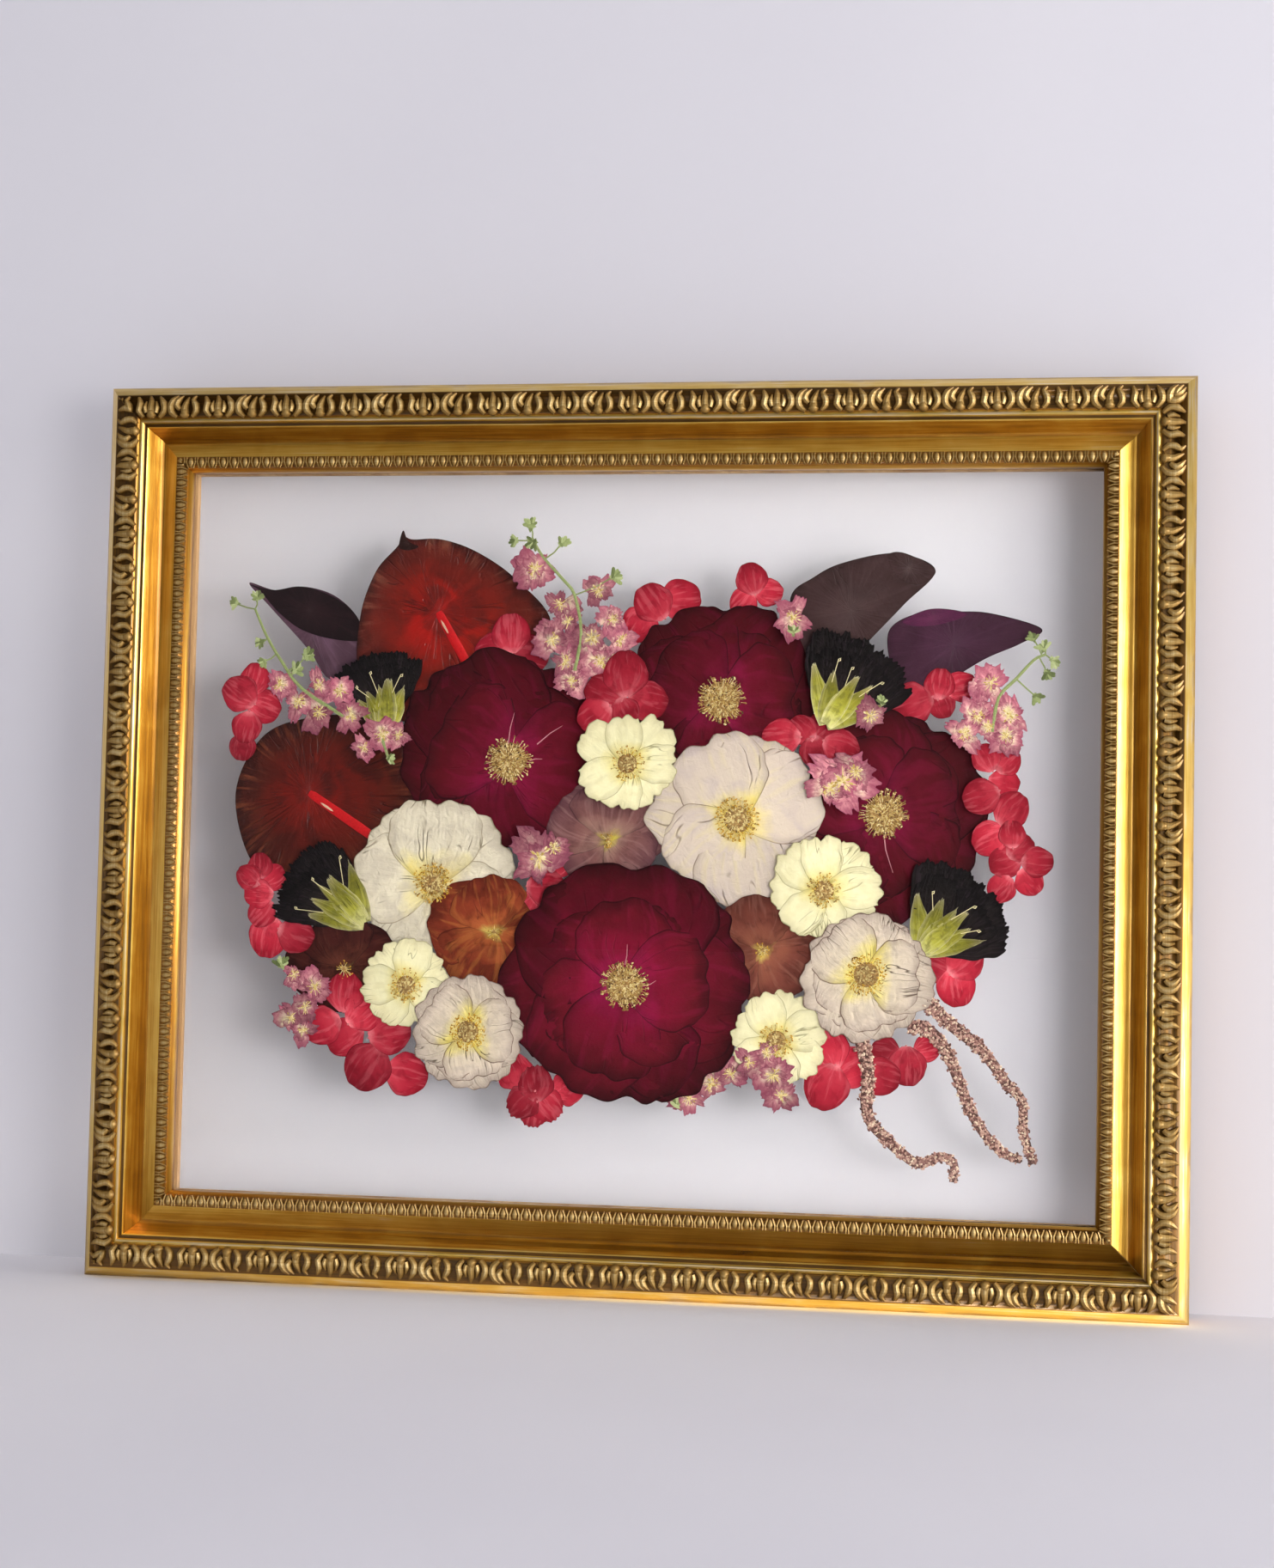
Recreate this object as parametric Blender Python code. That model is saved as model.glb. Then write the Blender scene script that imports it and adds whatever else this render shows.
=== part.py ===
"""Pressed flowers floating between two panes of glass in a carved, gilded wooden frame.

Metres, +Z up. The frame stands on the underside of its bottom rail, its front faces -Y, and its
origin is the middle of its footprint. Sizes of the moulding and the flowers are written in
millimetres and multiplied by MM where they become geometry.
"""

import math

import bmesh
import bpy
import numpy as np
from mathutils import Matrix, Vector, geometry

MM = 0.001

# ---- driving dimensions, mm ----
PANE_WIDTH, PANE_HEIGHT = 508.0, 406.4  # the standard 20 x 16 inch glass
RABBET = 6.0  # how far the moulding overlaps the glass on each side
FACE = 47.5  # moulding width, seen from the front
DEPTH = 32.0  # back of the moulding to the tops of the carved leaves
LEDGE = 14.0  # height of the rabbet's ledge above the back plane
GLASS = 2.0  # thickness of each pane
POCKET = 4.5  # space between the panes
CLEARANCE = 0.3  # gap between pieces that touch
FLOWER_GAP = 0.15  # gap between flowers pressed on each other
PETAL = 0.2  # thickness of one pressed petal
STEP = 0.02  # how much deeper each petal of a flower lies than the last
STEPS = 3
FLAT_ANGLE = math.radians(0.5)  # faces nearer to level than this are one face

SIGHT_WIDTH = PANE_WIDTH - 2 * RABBET
SIGHT_HEIGHT = PANE_HEIGHT - 2 * RABBET
OUTER_HEIGHT = SIGHT_HEIGHT + 2 * FACE
CENTRE_HEIGHT = OUTER_HEIGHT / 2
FRONT_PANE = LEDGE - CLEARANCE - GLASS / 2  # height of its middle above the back plane
BACK_PANE = FRONT_PANE - GLASS - POCKET
POCKET_FRONT = FRONT_PANE - GLASS / 2

# The moulding's section: distance out from the sight edge, height above the back plane.
SECTION = (
    [(0.0, LEDGE), (RABBET, LEDGE), (RABBET, 0.0), (FACE, 0.0), (FACE, 18.0)]
    + [(42.6, 25.2), (41.0, 27.4), (31.0, 28.8), (29.8, 26.2)]
    + [(28.2, 25.6), (27.8, 26.8), (25.8, 26.8), (25.2, 25.4), (24.0, 25.6), (22.8, 25.2)]
    + [(20.6, 20.8), (17.6, 18.0), (14.2, 17.2), (11.0, 18.6), (8.8, 21.6)]
    + [(7.6, 22.4), (5.0, 22.6), (2.6, 21.6), (2.2, 19.4), (0.0, 18.6)]
)
LEAF_BAND = (36.0, 28.1)  # middle of the carved leaf band, on the section
LEAF_PITCH = 19.0
LEAF_SIZE = (17.0, 9.8)  # corner to corner along the rail and across it
LEAF_CREST = 0.45  # width of a leaf's top, as a share of its foot
LEAF_ROOT = 1.0  # how far a leaf's foot lies inside the moulding

# ---- materials: colour, roughness, metallic ----
FINISHES = {
    "gilt": ((0.55, 0.33, 0.06), 0.38, 0.8),
    "glass": ((0.9, 0.93, 0.95), 0.04, 0.0),
    "rose": ((0.12, 0.006, 0.02), 0.7, 0.0),
    "white_petal": ((0.72, 0.64, 0.58), 0.7, 0.0),
    "cream_petal": ((0.85, 0.82, 0.6), 0.7, 0.0),
    "mauve_petal": ((0.22, 0.1, 0.11), 0.7, 0.0),
    "copper_petal": ((0.3, 0.06, 0.03), 0.7, 0.0),
    "brown_petal": ((0.08, 0.02, 0.02), 0.7, 0.0),
    "anthurium": ((0.22, 0.02, 0.01), 0.45, 0.0),
    "purple_leaf": ((0.1, 0.03, 0.06), 0.6, 0.0),
    "carnation": ((0.02, 0.015, 0.015), 0.8, 0.0),
    "hydrangea": ((0.6, 0.03, 0.06), 0.7, 0.0),
    "stock": ((0.5, 0.17, 0.26), 0.7, 0.0),
    "amaranth": ((0.45, 0.22, 0.18), 0.9, 0.0),
}

# ---- open blooms: material, middle, disc radius, petals as (direction, reach, breadth) ----
BLOOMS = {
    "rose_centre": ("rose", (-1, 165), 12, [(88, 66, 70), (28, 67, 52), (-8, 68, 50), (-45, 69, 50),
                    (-85, 63, 54), (-125, 63, 50), (-172, 68, 56), (140, 67, 50)]),
    "rose_left": ("rose", (-67.5, 285), 12, [(112, 62, 54), (72, 56, 44), (34, 57, 44), (-12, 50, 46),
                  (-75, 47, 46), (-140, 54, 48), (172, 61, 56), (142, 65, 42)]),
    "rose_top": ("rose", (48, 319), 12, [(128, 54, 46), (90, 51, 44), (54, 54, 44), (10, 50, 46),
                 (-32, 46, 42), (-85, 40, 44), (-145, 44, 44), (166, 51, 44)]),
    "rose_right": ("rose", (136, 259), 12, [(98, 55, 46), (62, 54, 42), (28, 57, 46), (-22, 55, 50),
                   (-72, 60, 44), (-112, 50, 40), (-165, 42, 42), (138, 46, 44)]),
    "white_large": ("white_petal", (58, 255), 11, [(112, 47, 40), (70, 46, 38), (28, 47, 40),
                    (-18, 43, 36), (-78, 48, 44), (-138, 44, 38), (168, 49, 42)]),
    "white_left": ("white_petal", (-108, 218), 10, [(88, 46, 42), (30, 47, 40), (-26, 41, 36),
                   (-76, 36, 34), (-130, 41, 36), (176, 46, 38), (134, 45, 36)]),
    "white_bottom": ("white_petal", (-86, 138), 9, [(95, 31, 28), (42, 31, 27), (-10, 31, 26),
                     (-62, 32, 27), (-115, 31, 28), (-166, 31, 26), (146, 31, 27)]),
    "white_right": ("white_petal", (128, 174), 10, [(88, 33, 30), (38, 33, 28), (-10, 37, 30),
                    (-62, 35, 29), (-112, 37, 30), (-163, 36, 29), (140, 33, 29)]),
    "cream_top": ("cream_petal", (-2, 284), 8, [(98, 26, 18), (45, 30, 20), (0, 27, 19),
                  (-48, 25, 20), (-100, 25, 20), (-150, 28, 20), (146, 30, 21)]),
    "cream_right": ("cream_petal", (105, 218), 8, [(95, 29, 20), (48, 30, 21), (5, 31, 20),
                    (-40, 29, 20), (-86, 25, 20), (-132, 28, 19), (-178, 29, 20), (138, 30, 20)]),
    "cream_left": ("cream_petal", (-121, 162), 8, [(78, 26, 19), (28, 24, 18), (-22, 23, 18),
                   (-74, 22, 18), (-126, 24, 18), (180, 25, 19), (128, 25, 18)]),
    "cream_bottom": ("cream_petal", (81, 138), 8, [(112, 26, 19), (68, 27, 19), (20, 27, 19),
                     (-30, 27, 19), (-82, 24, 19), (-140, 24, 19), (164, 24, 18)]),
    "mauve_bloom": ("mauve_petal", (-12, 243), 5, [(84, 28, 32), (30, 29, 28), (-35, 24, 28),
                    (-145, 25, 28), (146, 30, 30)]),
    "copper_bloom_left": ("copper_petal", (-73, 192), 5, [(104, 27, 30), (166, 33, 32),
                          (-125, 31, 32), (30, 20, 24), (-50, 22, 26)]),
    "copper_bloom_right": ("copper_petal", (73, 186), 5, [(100, 26, 28), (32, 30, 28),
                           (-38, 27, 28), (-108, 25, 28), (172, 24, 28)]),
    "brown_bloom": ("brown_petal", (-156, 170), 6, [(104, 27, 28), (168, 30, 26), (-128, 22, 24),
                    (18, 27, 28), (-56, 20, 24)]),
}

# ---- clusters of round petals pressed over each other: middle x, middle z, radius ----
HYDRANGEAS = {
    "hydrangea_left_top": [(-219, 320, 10), (-211, 328, 8.5), (-206, 313, 9.5), (-215, 302, 8.5),
                           (-217, 291, 7.5)],
    "hydrangea_by_anthurium": [(-68, 354, 10.5), (-77, 344, 10.5), (-58, 343, 10.5)],
    "hydrangea_behind_rose": [(10, 371, 10.5), (24, 373, 11), (3, 360, 10)],
    "hydrangea_middle": [(-4, 332, 12), (-15, 322, 10.5), (8, 318, 10.5), (-20, 310, 9.5), (-4, 312, 8)],
    "hydrangea_top": [(63, 384, 8.5), (72, 377, 7.5), (59, 372, 7.5)],
    "hydrangea_by_white": [(81, 299, 10), (92, 303, 8), (104, 304, 9.5), (112, 294, 9.5), (99, 292, 8.5)],
    "hydrangea_right_top": [(164, 328, 8), (175, 327, 8), (165, 318, 7.5), (150, 318, 11)],
    "hydrangea_right_chain": [(189, 289, 7.5), (200, 287, 7), (198, 276, 8), (187, 269, 9.5),
                              (202, 262, 9.5), (192, 247, 9.5), (203, 249, 7), (207, 242, 7.5),
                              (200, 235, 8.5), (216, 235, 8), (212, 225, 7.5), (198, 221, 7.5)],
    "hydrangea_left_low": [(-211, 219, 7), (-205, 225, 7), (-198, 219, 7.5), (-205, 210, 8),
                           (-203, 200, 8), (-199, 187, 11), (-184, 188, 10)],
    "hydrangea_by_copper": [(-46, 217, 10), (-58, 205, 10), (-39, 229, 7.5)],
    "hydrangea_bottom_left": [(-155, 157, 10.5), (-167, 139, 10.5), (-154, 133, 10.5), (-145, 147, 10.5),
                              (-141, 118, 13), (-120, 114, 11.5), (-130, 136, 11.5)],
    "hydrangea_bottom": [(-48, 105, 15.5), (-60, 117, 10.5), (-31, 109, 9.5)],
    "hydrangea_bottom_right": [(108, 115, 12), (108, 134, 11.5), (120, 125, 11), (136, 121, 10)],
    "hydrangea_by_strands": [(150, 127, 10), (139, 134, 7.5), (160, 136, 7)],
    "hydrangea_by_carnation": [(179, 182, 10), (175, 169, 10), (167, 180, 9.5)],
}

# ---- sprigs of stock: stems as lines of points, florets and buds as (x, z, radius) ----
STOCKS = {
    "stock_left": {
        "stems": [[(-212, 367), (-205, 352), (-196, 338), (-184, 323), (-160, 308)]],
        "buds": [(-223, 370, 4), (-211, 373, 4.5), (-208, 349, 4), (-206, 338, 4), (-182, 341, 5.5),
                 (-188, 333, 5)],
        "florets": [(-197, 325, 10), (-186, 316, 10.5), (-174, 310, 10), (-162, 322, 10),
                    (-156, 309, 10.5), (-174, 325, 9)]},
    "stock_top": {
        "stems": [[(-57, 406), (-51, 396), (-39, 383), (-33, 375), (-29, 355), (-32, 334)]],
        "buds": [(-66, 405, 4.5), (-58, 413, 5), (-56, 404, 4.5), (-41, 403, 4.5), (-12, 385, 5)],
        "florets": [(-55, 389, 11), (-20, 378, 10.5), (-41, 370, 9), (-36, 361, 9), (-45, 351, 11),
                    (-37, 339, 10.5), (-23, 352, 11), (-18, 339, 10.5), (-7, 351, 10.5), (-33, 328, 8.5),
                    (-12, 362, 8.5)]},
    "stock_right": {
        "stems": [[(219, 344), (213, 341), (204, 331), (195, 321), (192, 303)]],
        "buds": [(218, 347, 5), (223, 341, 4.5), (220, 334, 4.5), (213, 352, 4), (214, 322, 4.5)],
        "florets": [(191, 329, 10.5), (201, 312, 11), (199, 301, 10), (190, 306, 9), (178, 302, 10),
                    (184, 311, 10)]},
    "stock_beside_leaf": {"stems": [], "buds": [(86, 355, 4)], "florets": [(86, 363, 10.5)]},
    "stock_by_calyx": {"stems": [], "buds": [(134, 318, 3.5)], "florets": [(128, 311, 10.5)]},
    "stock_on_rose": {"stems": [], "buds": [],
                      "florets": [(114, 276, 17), (107, 272, 10.5), (121, 281, 10.5)]},
    "stock_by_leaf_left": {"stems": [[(-134, 285), (-138, 296)]], "buds": [(-134, 285, 4)],
                           "florets": [(-138, 298, 10.5), (-148, 291, 8), (-129, 298, 7.5)]},
    "stock_star": {"stems": [], "buds": [], "florets": [(-49, 233, 17), (-41, 238, 9)]},
    "stock_bottom_left": {"stems": [], "buds": [(-191, 171, 5)],
                          "florets": [(-184, 166, 8), (-172, 160, 10.5), (-177, 149, 9), (-185, 143, 8),
                                      (-178, 136, 7.5)]},
    "stock_bottom": {"stems": [], "buds": [(28, 102, 4)],
                     "florets": [(47, 114, 11), (35, 106, 9), (57, 120, 9)]},
    "stock_bottom_right": {"stems": [], "buds": [],
                           "florets": [(80, 120, 11), (76, 131, 8.5), (67, 126, 8.5), (84, 109, 8.5)]},
}

# ---- carnations seen from the side: calyx base, direction, reach, half spread ----
CARNATIONS = {
    "carnation_left_top": ((-142, 303), 74, 47, 38),
    "carnation_left_low": ((-146, 196), 144, 54, 32),
    "carnation_right_top": ((105, 307), 62, 52, 38),
    "carnation_right_low": ((158, 188), 50, 50, 42),
}

# ---- leaves and spathes: a few points that a smooth closed outline runs through ----
LEAVES = {
    "leaf_left": [(-217, 382), (-202, 378), (-186, 380), (-168, 375), (-154, 362), (-150, 345),
                  (-153, 328), (-170, 329), (-182, 345), (-205, 369)],
    "leaf_right_tall": [(84, 374), (96, 385), (112, 393), (140, 398), (161, 389), (145, 371),
                        (130, 355), (112, 336), (97, 324), (88, 345)],
    "leaf_right_wide": [(137, 357), (152, 366), (172, 367), (191, 366), (217, 358), (206, 350),
                        (188, 342), (166, 329), (145, 322), (138, 338)],
}
ANTHURIUMS = {
    "anthurium_top": ([(-130, 412), (-143, 391), (-153, 363), (-152, 330), (-128, 306), (-92, 308),
                       (-60, 330), (-46, 360), (-66, 384), (-98, 404)], ((-109, 366), (-91, 336))),
    "anthurium_left": ([(-221, 265), (-211, 228), (-188, 211), (-158, 216), (-128, 235), (-114, 266),
                        (-122, 294), (-150, 308), (-182, 307), (-207, 296)], ((-179, 266), (-137, 239))),
}
SPADIX_WIDTH = 6.0
STEM_WIDTH = 1.6

# ---- hanging tassels of amaranth, along their middles ----
STRANDS = {
    "amaranth_strand_left": [(126, 139), (129, 128), (130, 118), (129, 108), (131, 98), (138, 90),
                             (147, 82), (157, 76), (168, 80), (175, 77), (175, 67)],
    "amaranth_strand_middle": [(150, 147), (158, 147), (166, 141), (172, 132), (176, 123), (181, 110),
                               (187, 98), (195, 88), (203, 82), (210, 80)],
    "amaranth_strand_right": [(160, 161), (169, 152), (178, 145), (187, 138), (194, 130), (202, 119),
                              (210, 110), (211, 94), (216, 78)],
}
STRAND_WIDTH, STRAND_END_WIDTH = 8.0, 4.0

# The flowers are laid on the front pane one after the other, so the first names lie in front.
LAYING_ORDER = (
    ["stock_bottom_right", "white_bottom", "white_right", "cream_top", "cream_right", "cream_left"]
    + ["cream_bottom", "stock_star", "stock_on_rose", "rose_centre", "copper_bloom_left"]
    + ["copper_bloom_right", "white_large", "white_left", "hydrangea_middle", "stock_bottom"]
    + ["amaranth_strand_right", "amaranth_strand_middle", "amaranth_strand_left", "mauve_bloom"]
    + ["stock_by_leaf_left", "stock_by_calyx", "carnation_left_top", "carnation_right_top"]
    + ["carnation_left_low", "carnation_right_low", "hydrangea_by_white", "stock_left", "stock_right"]
    + ["stock_beside_leaf", "stock_top", "hydrangea_right_chain", "rose_left", "rose_top", "rose_right"]
    + ["stock_bottom_left", "hydrangea_left_top", "hydrangea_by_anthurium", "hydrangea_behind_rose"]
    + ["hydrangea_top", "hydrangea_right_top", "hydrangea_left_low", "hydrangea_by_copper"]
    + ["hydrangea_bottom_left", "brown_bloom", "hydrangea_bottom", "hydrangea_bottom_right"]
    + ["hydrangea_by_strands", "hydrangea_by_carnation", "anthurium_top", "anthurium_left"]
    + ["leaf_left", "leaf_right_wide", "leaf_right_tall"]
)


def clear_scene():
    """Remove every object the file starts with."""
    for ob in list(bpy.data.objects):
        bpy.data.objects.remove(ob, do_unlink=True)


def new_collection(name):
    """A collection linked to the scene."""
    made = bpy.data.collections.new(name)
    bpy.context.scene.collection.children.link(made)
    return made


def finish(name):
    """The Principled material of one finish, made once."""
    if name in bpy.data.materials:
        return bpy.data.materials[name]
    colour, roughness, metallic = FINISHES[name]
    mat = bpy.data.materials.new(name)
    mat.use_nodes = True
    shader = mat.node_tree.nodes["Principled BSDF"]
    shader.inputs["Base Color"].default_value = (*colour, 1.0)
    shader.inputs["Roughness"].default_value = roughness
    shader.inputs["Metallic"].default_value = metallic
    if name == "glass":
        shader.inputs["Transmission Weight"].default_value = 1.0
        shader.inputs["IOR"].default_value = 1.5
    mat.diffuse_color = (*colour, 1.0)
    return mat


def add_object(name, mesh, collection, material):
    """A named object for a mesh, in a collection, with one finish."""
    ob = bpy.data.objects.new(name, mesh)
    collection.objects.link(ob)
    mesh.materials.clear()
    mesh.materials.append(finish(material))
    return ob


def without_flat_edges(mesh):
    """The mesh with the edges that Boolean cuts left inside its flat faces dissolved."""
    bm = bmesh.new()
    bm.from_mesh(mesh)
    bmesh.ops.remove_doubles(bm, verts=bm.verts, dist=1e-6)
    bmesh.ops.dissolve_limit(bm, angle_limit=FLAT_ANGLE, verts=bm.verts, edges=bm.edges)
    bm.to_mesh(mesh)
    bm.free()
    return mesh


def unite(meshes):
    """One mesh from overlapping closed meshes, by one Boolean union."""
    tools = new_collection("tools")
    body, *others = [bpy.data.objects.new("body", mesh) for mesh in meshes]
    bpy.context.scene.collection.objects.link(body)
    for other in others:
        tools.objects.link(other)
    union = body.modifiers.new("union", "BOOLEAN")
    union.operation = "UNION"
    union.operand_type = "COLLECTION"
    union.collection = tools
    depsgraph = bpy.context.evaluated_depsgraph_get()
    whole = bpy.data.meshes.new_from_object(body.evaluated_get(depsgraph))
    for ob in (body, *others):
        bpy.data.objects.remove(ob)
    bpy.data.collections.remove(tools)
    return without_flat_edges(whole)


# ---- frame ----
def section_y(height):
    """The y of a height above the moulding's back plane, mm."""
    return DEPTH / 2 - height


def cut_mitre(bm, side, half_length):
    """Cut one end of a rail at 45 degrees, just inside the corner line, and close it."""
    inner_end = half_length - FACE - CLEARANCE / 2 * math.sqrt(2)
    geometry = bm.verts[:] + bm.edges[:] + bm.faces[:]
    cut = bmesh.ops.bisect_plane(bm, geom=geometry, plane_co=(side * inner_end * MM, 0, 0),
                                 plane_no=(side, 0, -1), clear_outer=True)
    edges = [e for e in cut["geom_cut"] if isinstance(e, bmesh.types.BMEdge)]
    bmesh.ops.contextual_create(bm, geom=edges)


def moulding(length):
    """A mitred length of moulding along X, its sight edge on z = 0 and its outer edge up."""
    bm = bmesh.new()
    ring = [bm.verts.new((-length / 2 * MM, section_y(h) * MM, out * MM)) for out, h in SECTION]
    end = bm.faces.new(ring)
    moved = bmesh.ops.extrude_face_region(bm, geom=[end])
    verts = [v for v in moved["geom"] if isinstance(v, bmesh.types.BMVert)]
    bmesh.ops.translate(bm, verts=verts, vec=(length * MM, 0, 0))
    for side in (-1, 1):
        cut_mitre(bm, side, length / 2)
    bmesh.ops.recalc_face_normals(bm, faces=bm.faces)
    mesh = bpy.data.meshes.new("moulding")
    bm.to_mesh(mesh)
    bm.free()
    return mesh


def carved_leaf(x):
    """A blunt tongue that stands for one leaf of the carving."""
    foot = LEAF_BAND[1] - LEAF_ROOT
    bm = bmesh.new()
    bmesh.ops.create_cone(bm, segments=4, cap_ends=True, radius1=0.5, radius2=0.5 * LEAF_CREST, depth=1.0)
    size = Vector((LEAF_SIZE[0], LEAF_SIZE[1], DEPTH - foot)) * MM
    place = Vector((x, section_y((foot + DEPTH) / 2), LEAF_BAND[0])) * MM
    turn = Matrix.Rotation(math.radians(90), 4, "X")
    bmesh.ops.transform(bm, matrix=Matrix.Translation(place) @ turn @ Matrix.Diagonal((*size, 1)),
                        verts=bm.verts)
    mesh = bpy.data.meshes.new("leaf")
    bm.to_mesh(mesh)
    bm.free()
    return mesh


def carved_leaves(length):
    """The row of leaves along one rail, clear of each other and of the mitres."""
    span = length - 2 * (FACE - LEAF_BAND[0]) - LEAF_SIZE[0] - 2 * CLEARANCE
    count = int(span // LEAF_PITCH)
    return [carved_leaf(span * (k / count - 0.5)) for k in range(count + 1)]


def build_frame(collection):
    """The four mitred rails."""
    sides = {
        "rail_top": (SIGHT_WIDTH, SIGHT_HEIGHT, 0),
        "rail_right": (SIGHT_HEIGHT, SIGHT_WIDTH, 90),
        "rail_bottom": (SIGHT_WIDTH, SIGHT_HEIGHT, 180),
        "rail_left": (SIGHT_HEIGHT, SIGHT_WIDTH, 270),
    }
    for name, (sight, across, turn) in sides.items():
        length = sight + 2 * FACE
        mesh = unite([moulding(length)] + carved_leaves(length))
        rail = add_object(name, mesh, collection, "gilt")
        angle = math.radians(turn)
        out = Vector((math.sin(angle), 0, math.cos(angle))) * across / 2
        rail.location = (out + Vector((0, 0, CENTRE_HEIGHT))) * MM
        rail.rotation_euler.y = angle


def build_pane(name, height, collection):
    """One sheet of glass at its height above the back plane."""
    bm = bmesh.new()
    bmesh.ops.create_cube(bm, size=1.0)
    size = (PANE_WIDTH - 2 * CLEARANCE, GLASS, PANE_HEIGHT - 2 * CLEARANCE)
    bmesh.ops.scale(bm, vec=Vector(size) * MM, verts=bm.verts)
    mesh = bpy.data.meshes.new(name)
    bm.to_mesh(mesh)
    bm.free()
    pane = add_object(name, mesh, collection, "glass")
    pane.location = Vector((0, section_y(height), CENTRE_HEIGHT)) * MM


# ---- outlines of pressed pieces, as (x, z) in mm ----
def polar(middle, angle, distance):
    """The point at a distance from another, in a direction in degrees."""
    turn = math.radians(angle)
    return middle[0] + distance * math.cos(turn), middle[1] + distance * math.sin(turn)


def petal_outline(middle, angle, reach, breadth, points=6):
    """A rounded petal that narrows to the flower's middle."""
    tip_radius = min(breadth / 2, reach / 2)
    outline = [polar(middle, angle + 180, 1.5)]
    for k in range(points):
        around = math.radians(-118 + 236 * k / (points - 1))
        along = reach - tip_radius + tip_radius * math.cos(around)
        across = breadth / 2 * math.sin(around)
        outline.append(polar(polar(middle, angle, along), angle + 90, across))
    return outline


def disc_outline(middle, radius, sides, turn=0.0):
    """A regular outline around a point."""
    return [polar(middle, turn + 360 * k / sides, radius) for k in range(sides)]


def floret_outline(middle, radius, petals=4, turn=0.0):
    """A small open floret: petal tips with notches between them."""
    reaches = (1.0, 0.62)
    step = 360 / petals / len(reaches)
    return [polar(middle, turn + step * k, radius * reaches[k % len(reaches)])
            for k in range(petals * len(reaches))]


def smooth_outline(points, spans=2):
    """A closed Catmull-Rom curve through the points."""
    outline = []
    for k in range(len(points)):
        a, b, c, d = (Vector(points[(k + shift) % len(points)]) for shift in (-1, 0, 1, 2))
        for step in range(spans):
            t = step / spans
            spot = b + (c - a) * t / 2 + (a - 2.5 * b + 2 * c - d / 2) * t**2
            outline.append(tuple(spot + (1.5 * (b - c) + (d - a) / 2) * t**3))
    return outline


def ribbon_outline(points, widths):
    """A flat strip along a line of points, as wide at each as its width says."""
    left, right = [], []
    for k, spot in enumerate(points):
        ahead, behind = points[min(k + 1, len(points) - 1)], points[max(k - 1, 0)]
        heading = math.degrees(math.atan2(ahead[1] - behind[1], ahead[0] - behind[0]))
        left.append(polar(spot, heading + 90, widths[k] / 2))
        right.append(polar(spot, heading - 90, widths[k] / 2))
    return left + right[::-1]


def fan_outline(base, angle, reach, spread, ruffles=7):
    """A carnation's ruffled fan of petals, from above its calyx."""
    outline = [polar(base, angle - spread / 2, reach * 0.3), polar(base, angle + spread / 2, reach * 0.3)]
    for k in range(2 * ruffles + 1):
        along = spread - 2 * spread * k / (2 * ruffles)
        ruffle = 1.0 if k % 2 else 0.9
        outline.append(polar(base, angle + along, reach * ruffle * (1 - 0.12 * (along / spread) ** 2)))
    return outline


def calyx_outline(base, angle, reach, spread, sepals=4):
    """A carnation's calyx: a narrow cup that opens in pointed sepals."""
    outline = [polar(base, angle - 150, 2.5), polar(base, angle + 150, 2.5)][::-1]
    for k in range(2 * sepals + 1):
        along = spread * (k / sepals - 1)
        outline.append(polar(base, angle + along * 0.7, reach * (0.68 if k % 2 else 0.42)))
    return outline


# ---- pressed pieces ----
def bloom_outlines(middle, disc, petals):
    """An open flower: its stamen disc in front, and its petals behind."""
    discs = [disc_outline(middle, disc, 7)]
    return discs + [petal_outline(middle, *petal) for petal in petals]


def stalk_to(spot, line):
    """A short stalk from a bud or floret to the nearest place on its stem."""
    pairs = [geometry.intersect_point_line(spot, a, b) for a, b in zip(line, line[1:])]
    feet = [Vector(a).lerp(Vector(b), min(max(share, 0.0), 1.0))
            for (a, b), (_, share) in zip(zip(line, line[1:]), pairs)]
    foot = min(feet, key=lambda place: (place - Vector(spot)).length)
    return [spot, tuple(foot)]


def stock_outlines(stems, buds, florets):
    """A sprig of stock: florets in front, then buds, then stems and the buds' stalks."""
    flowers = [floret_outline((x, z), radius, 4, 37 * k) for k, (x, z, radius) in enumerate(florets)]
    knobs = [disc_outline((x, z), radius, 5) for x, z, radius in buds]
    stalks = [stalk_to((x, z), stems[0]) for x, z, _ in buds] if stems else []
    long_stalks = [stalk for stalk in stalks if math.dist(*stalk) > STEM_WIDTH]
    lines = [ribbon_outline(line, [STEM_WIDTH] * len(line)) for line in stems + long_stalks]
    return flowers + knobs + lines


def strand_outline(points):
    """A tassel of amaranth: a knobbly strip that narrows to its tip."""
    last = len(points) - 1
    widths = [STRAND_WIDTH + (STRAND_END_WIDTH - STRAND_WIDTH) * k / last for k in range(last + 1)]
    return ribbon_outline(points, [w * (1.12 if k % 2 else 0.88) for k, w in enumerate(widths)])


def anthurium_outlines(spathe, spadix):
    """A heart-shaped spathe with its spike in front."""
    return [ribbon_outline(spadix, [SPADIX_WIDTH] * 2), smooth_outline(spathe)]


def carnation_outlines(base, angle, reach, spread):
    """A calyx in front of its fan of petals."""
    return [calyx_outline(base, angle, reach, spread), fan_outline(base, angle, reach, spread)]


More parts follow.
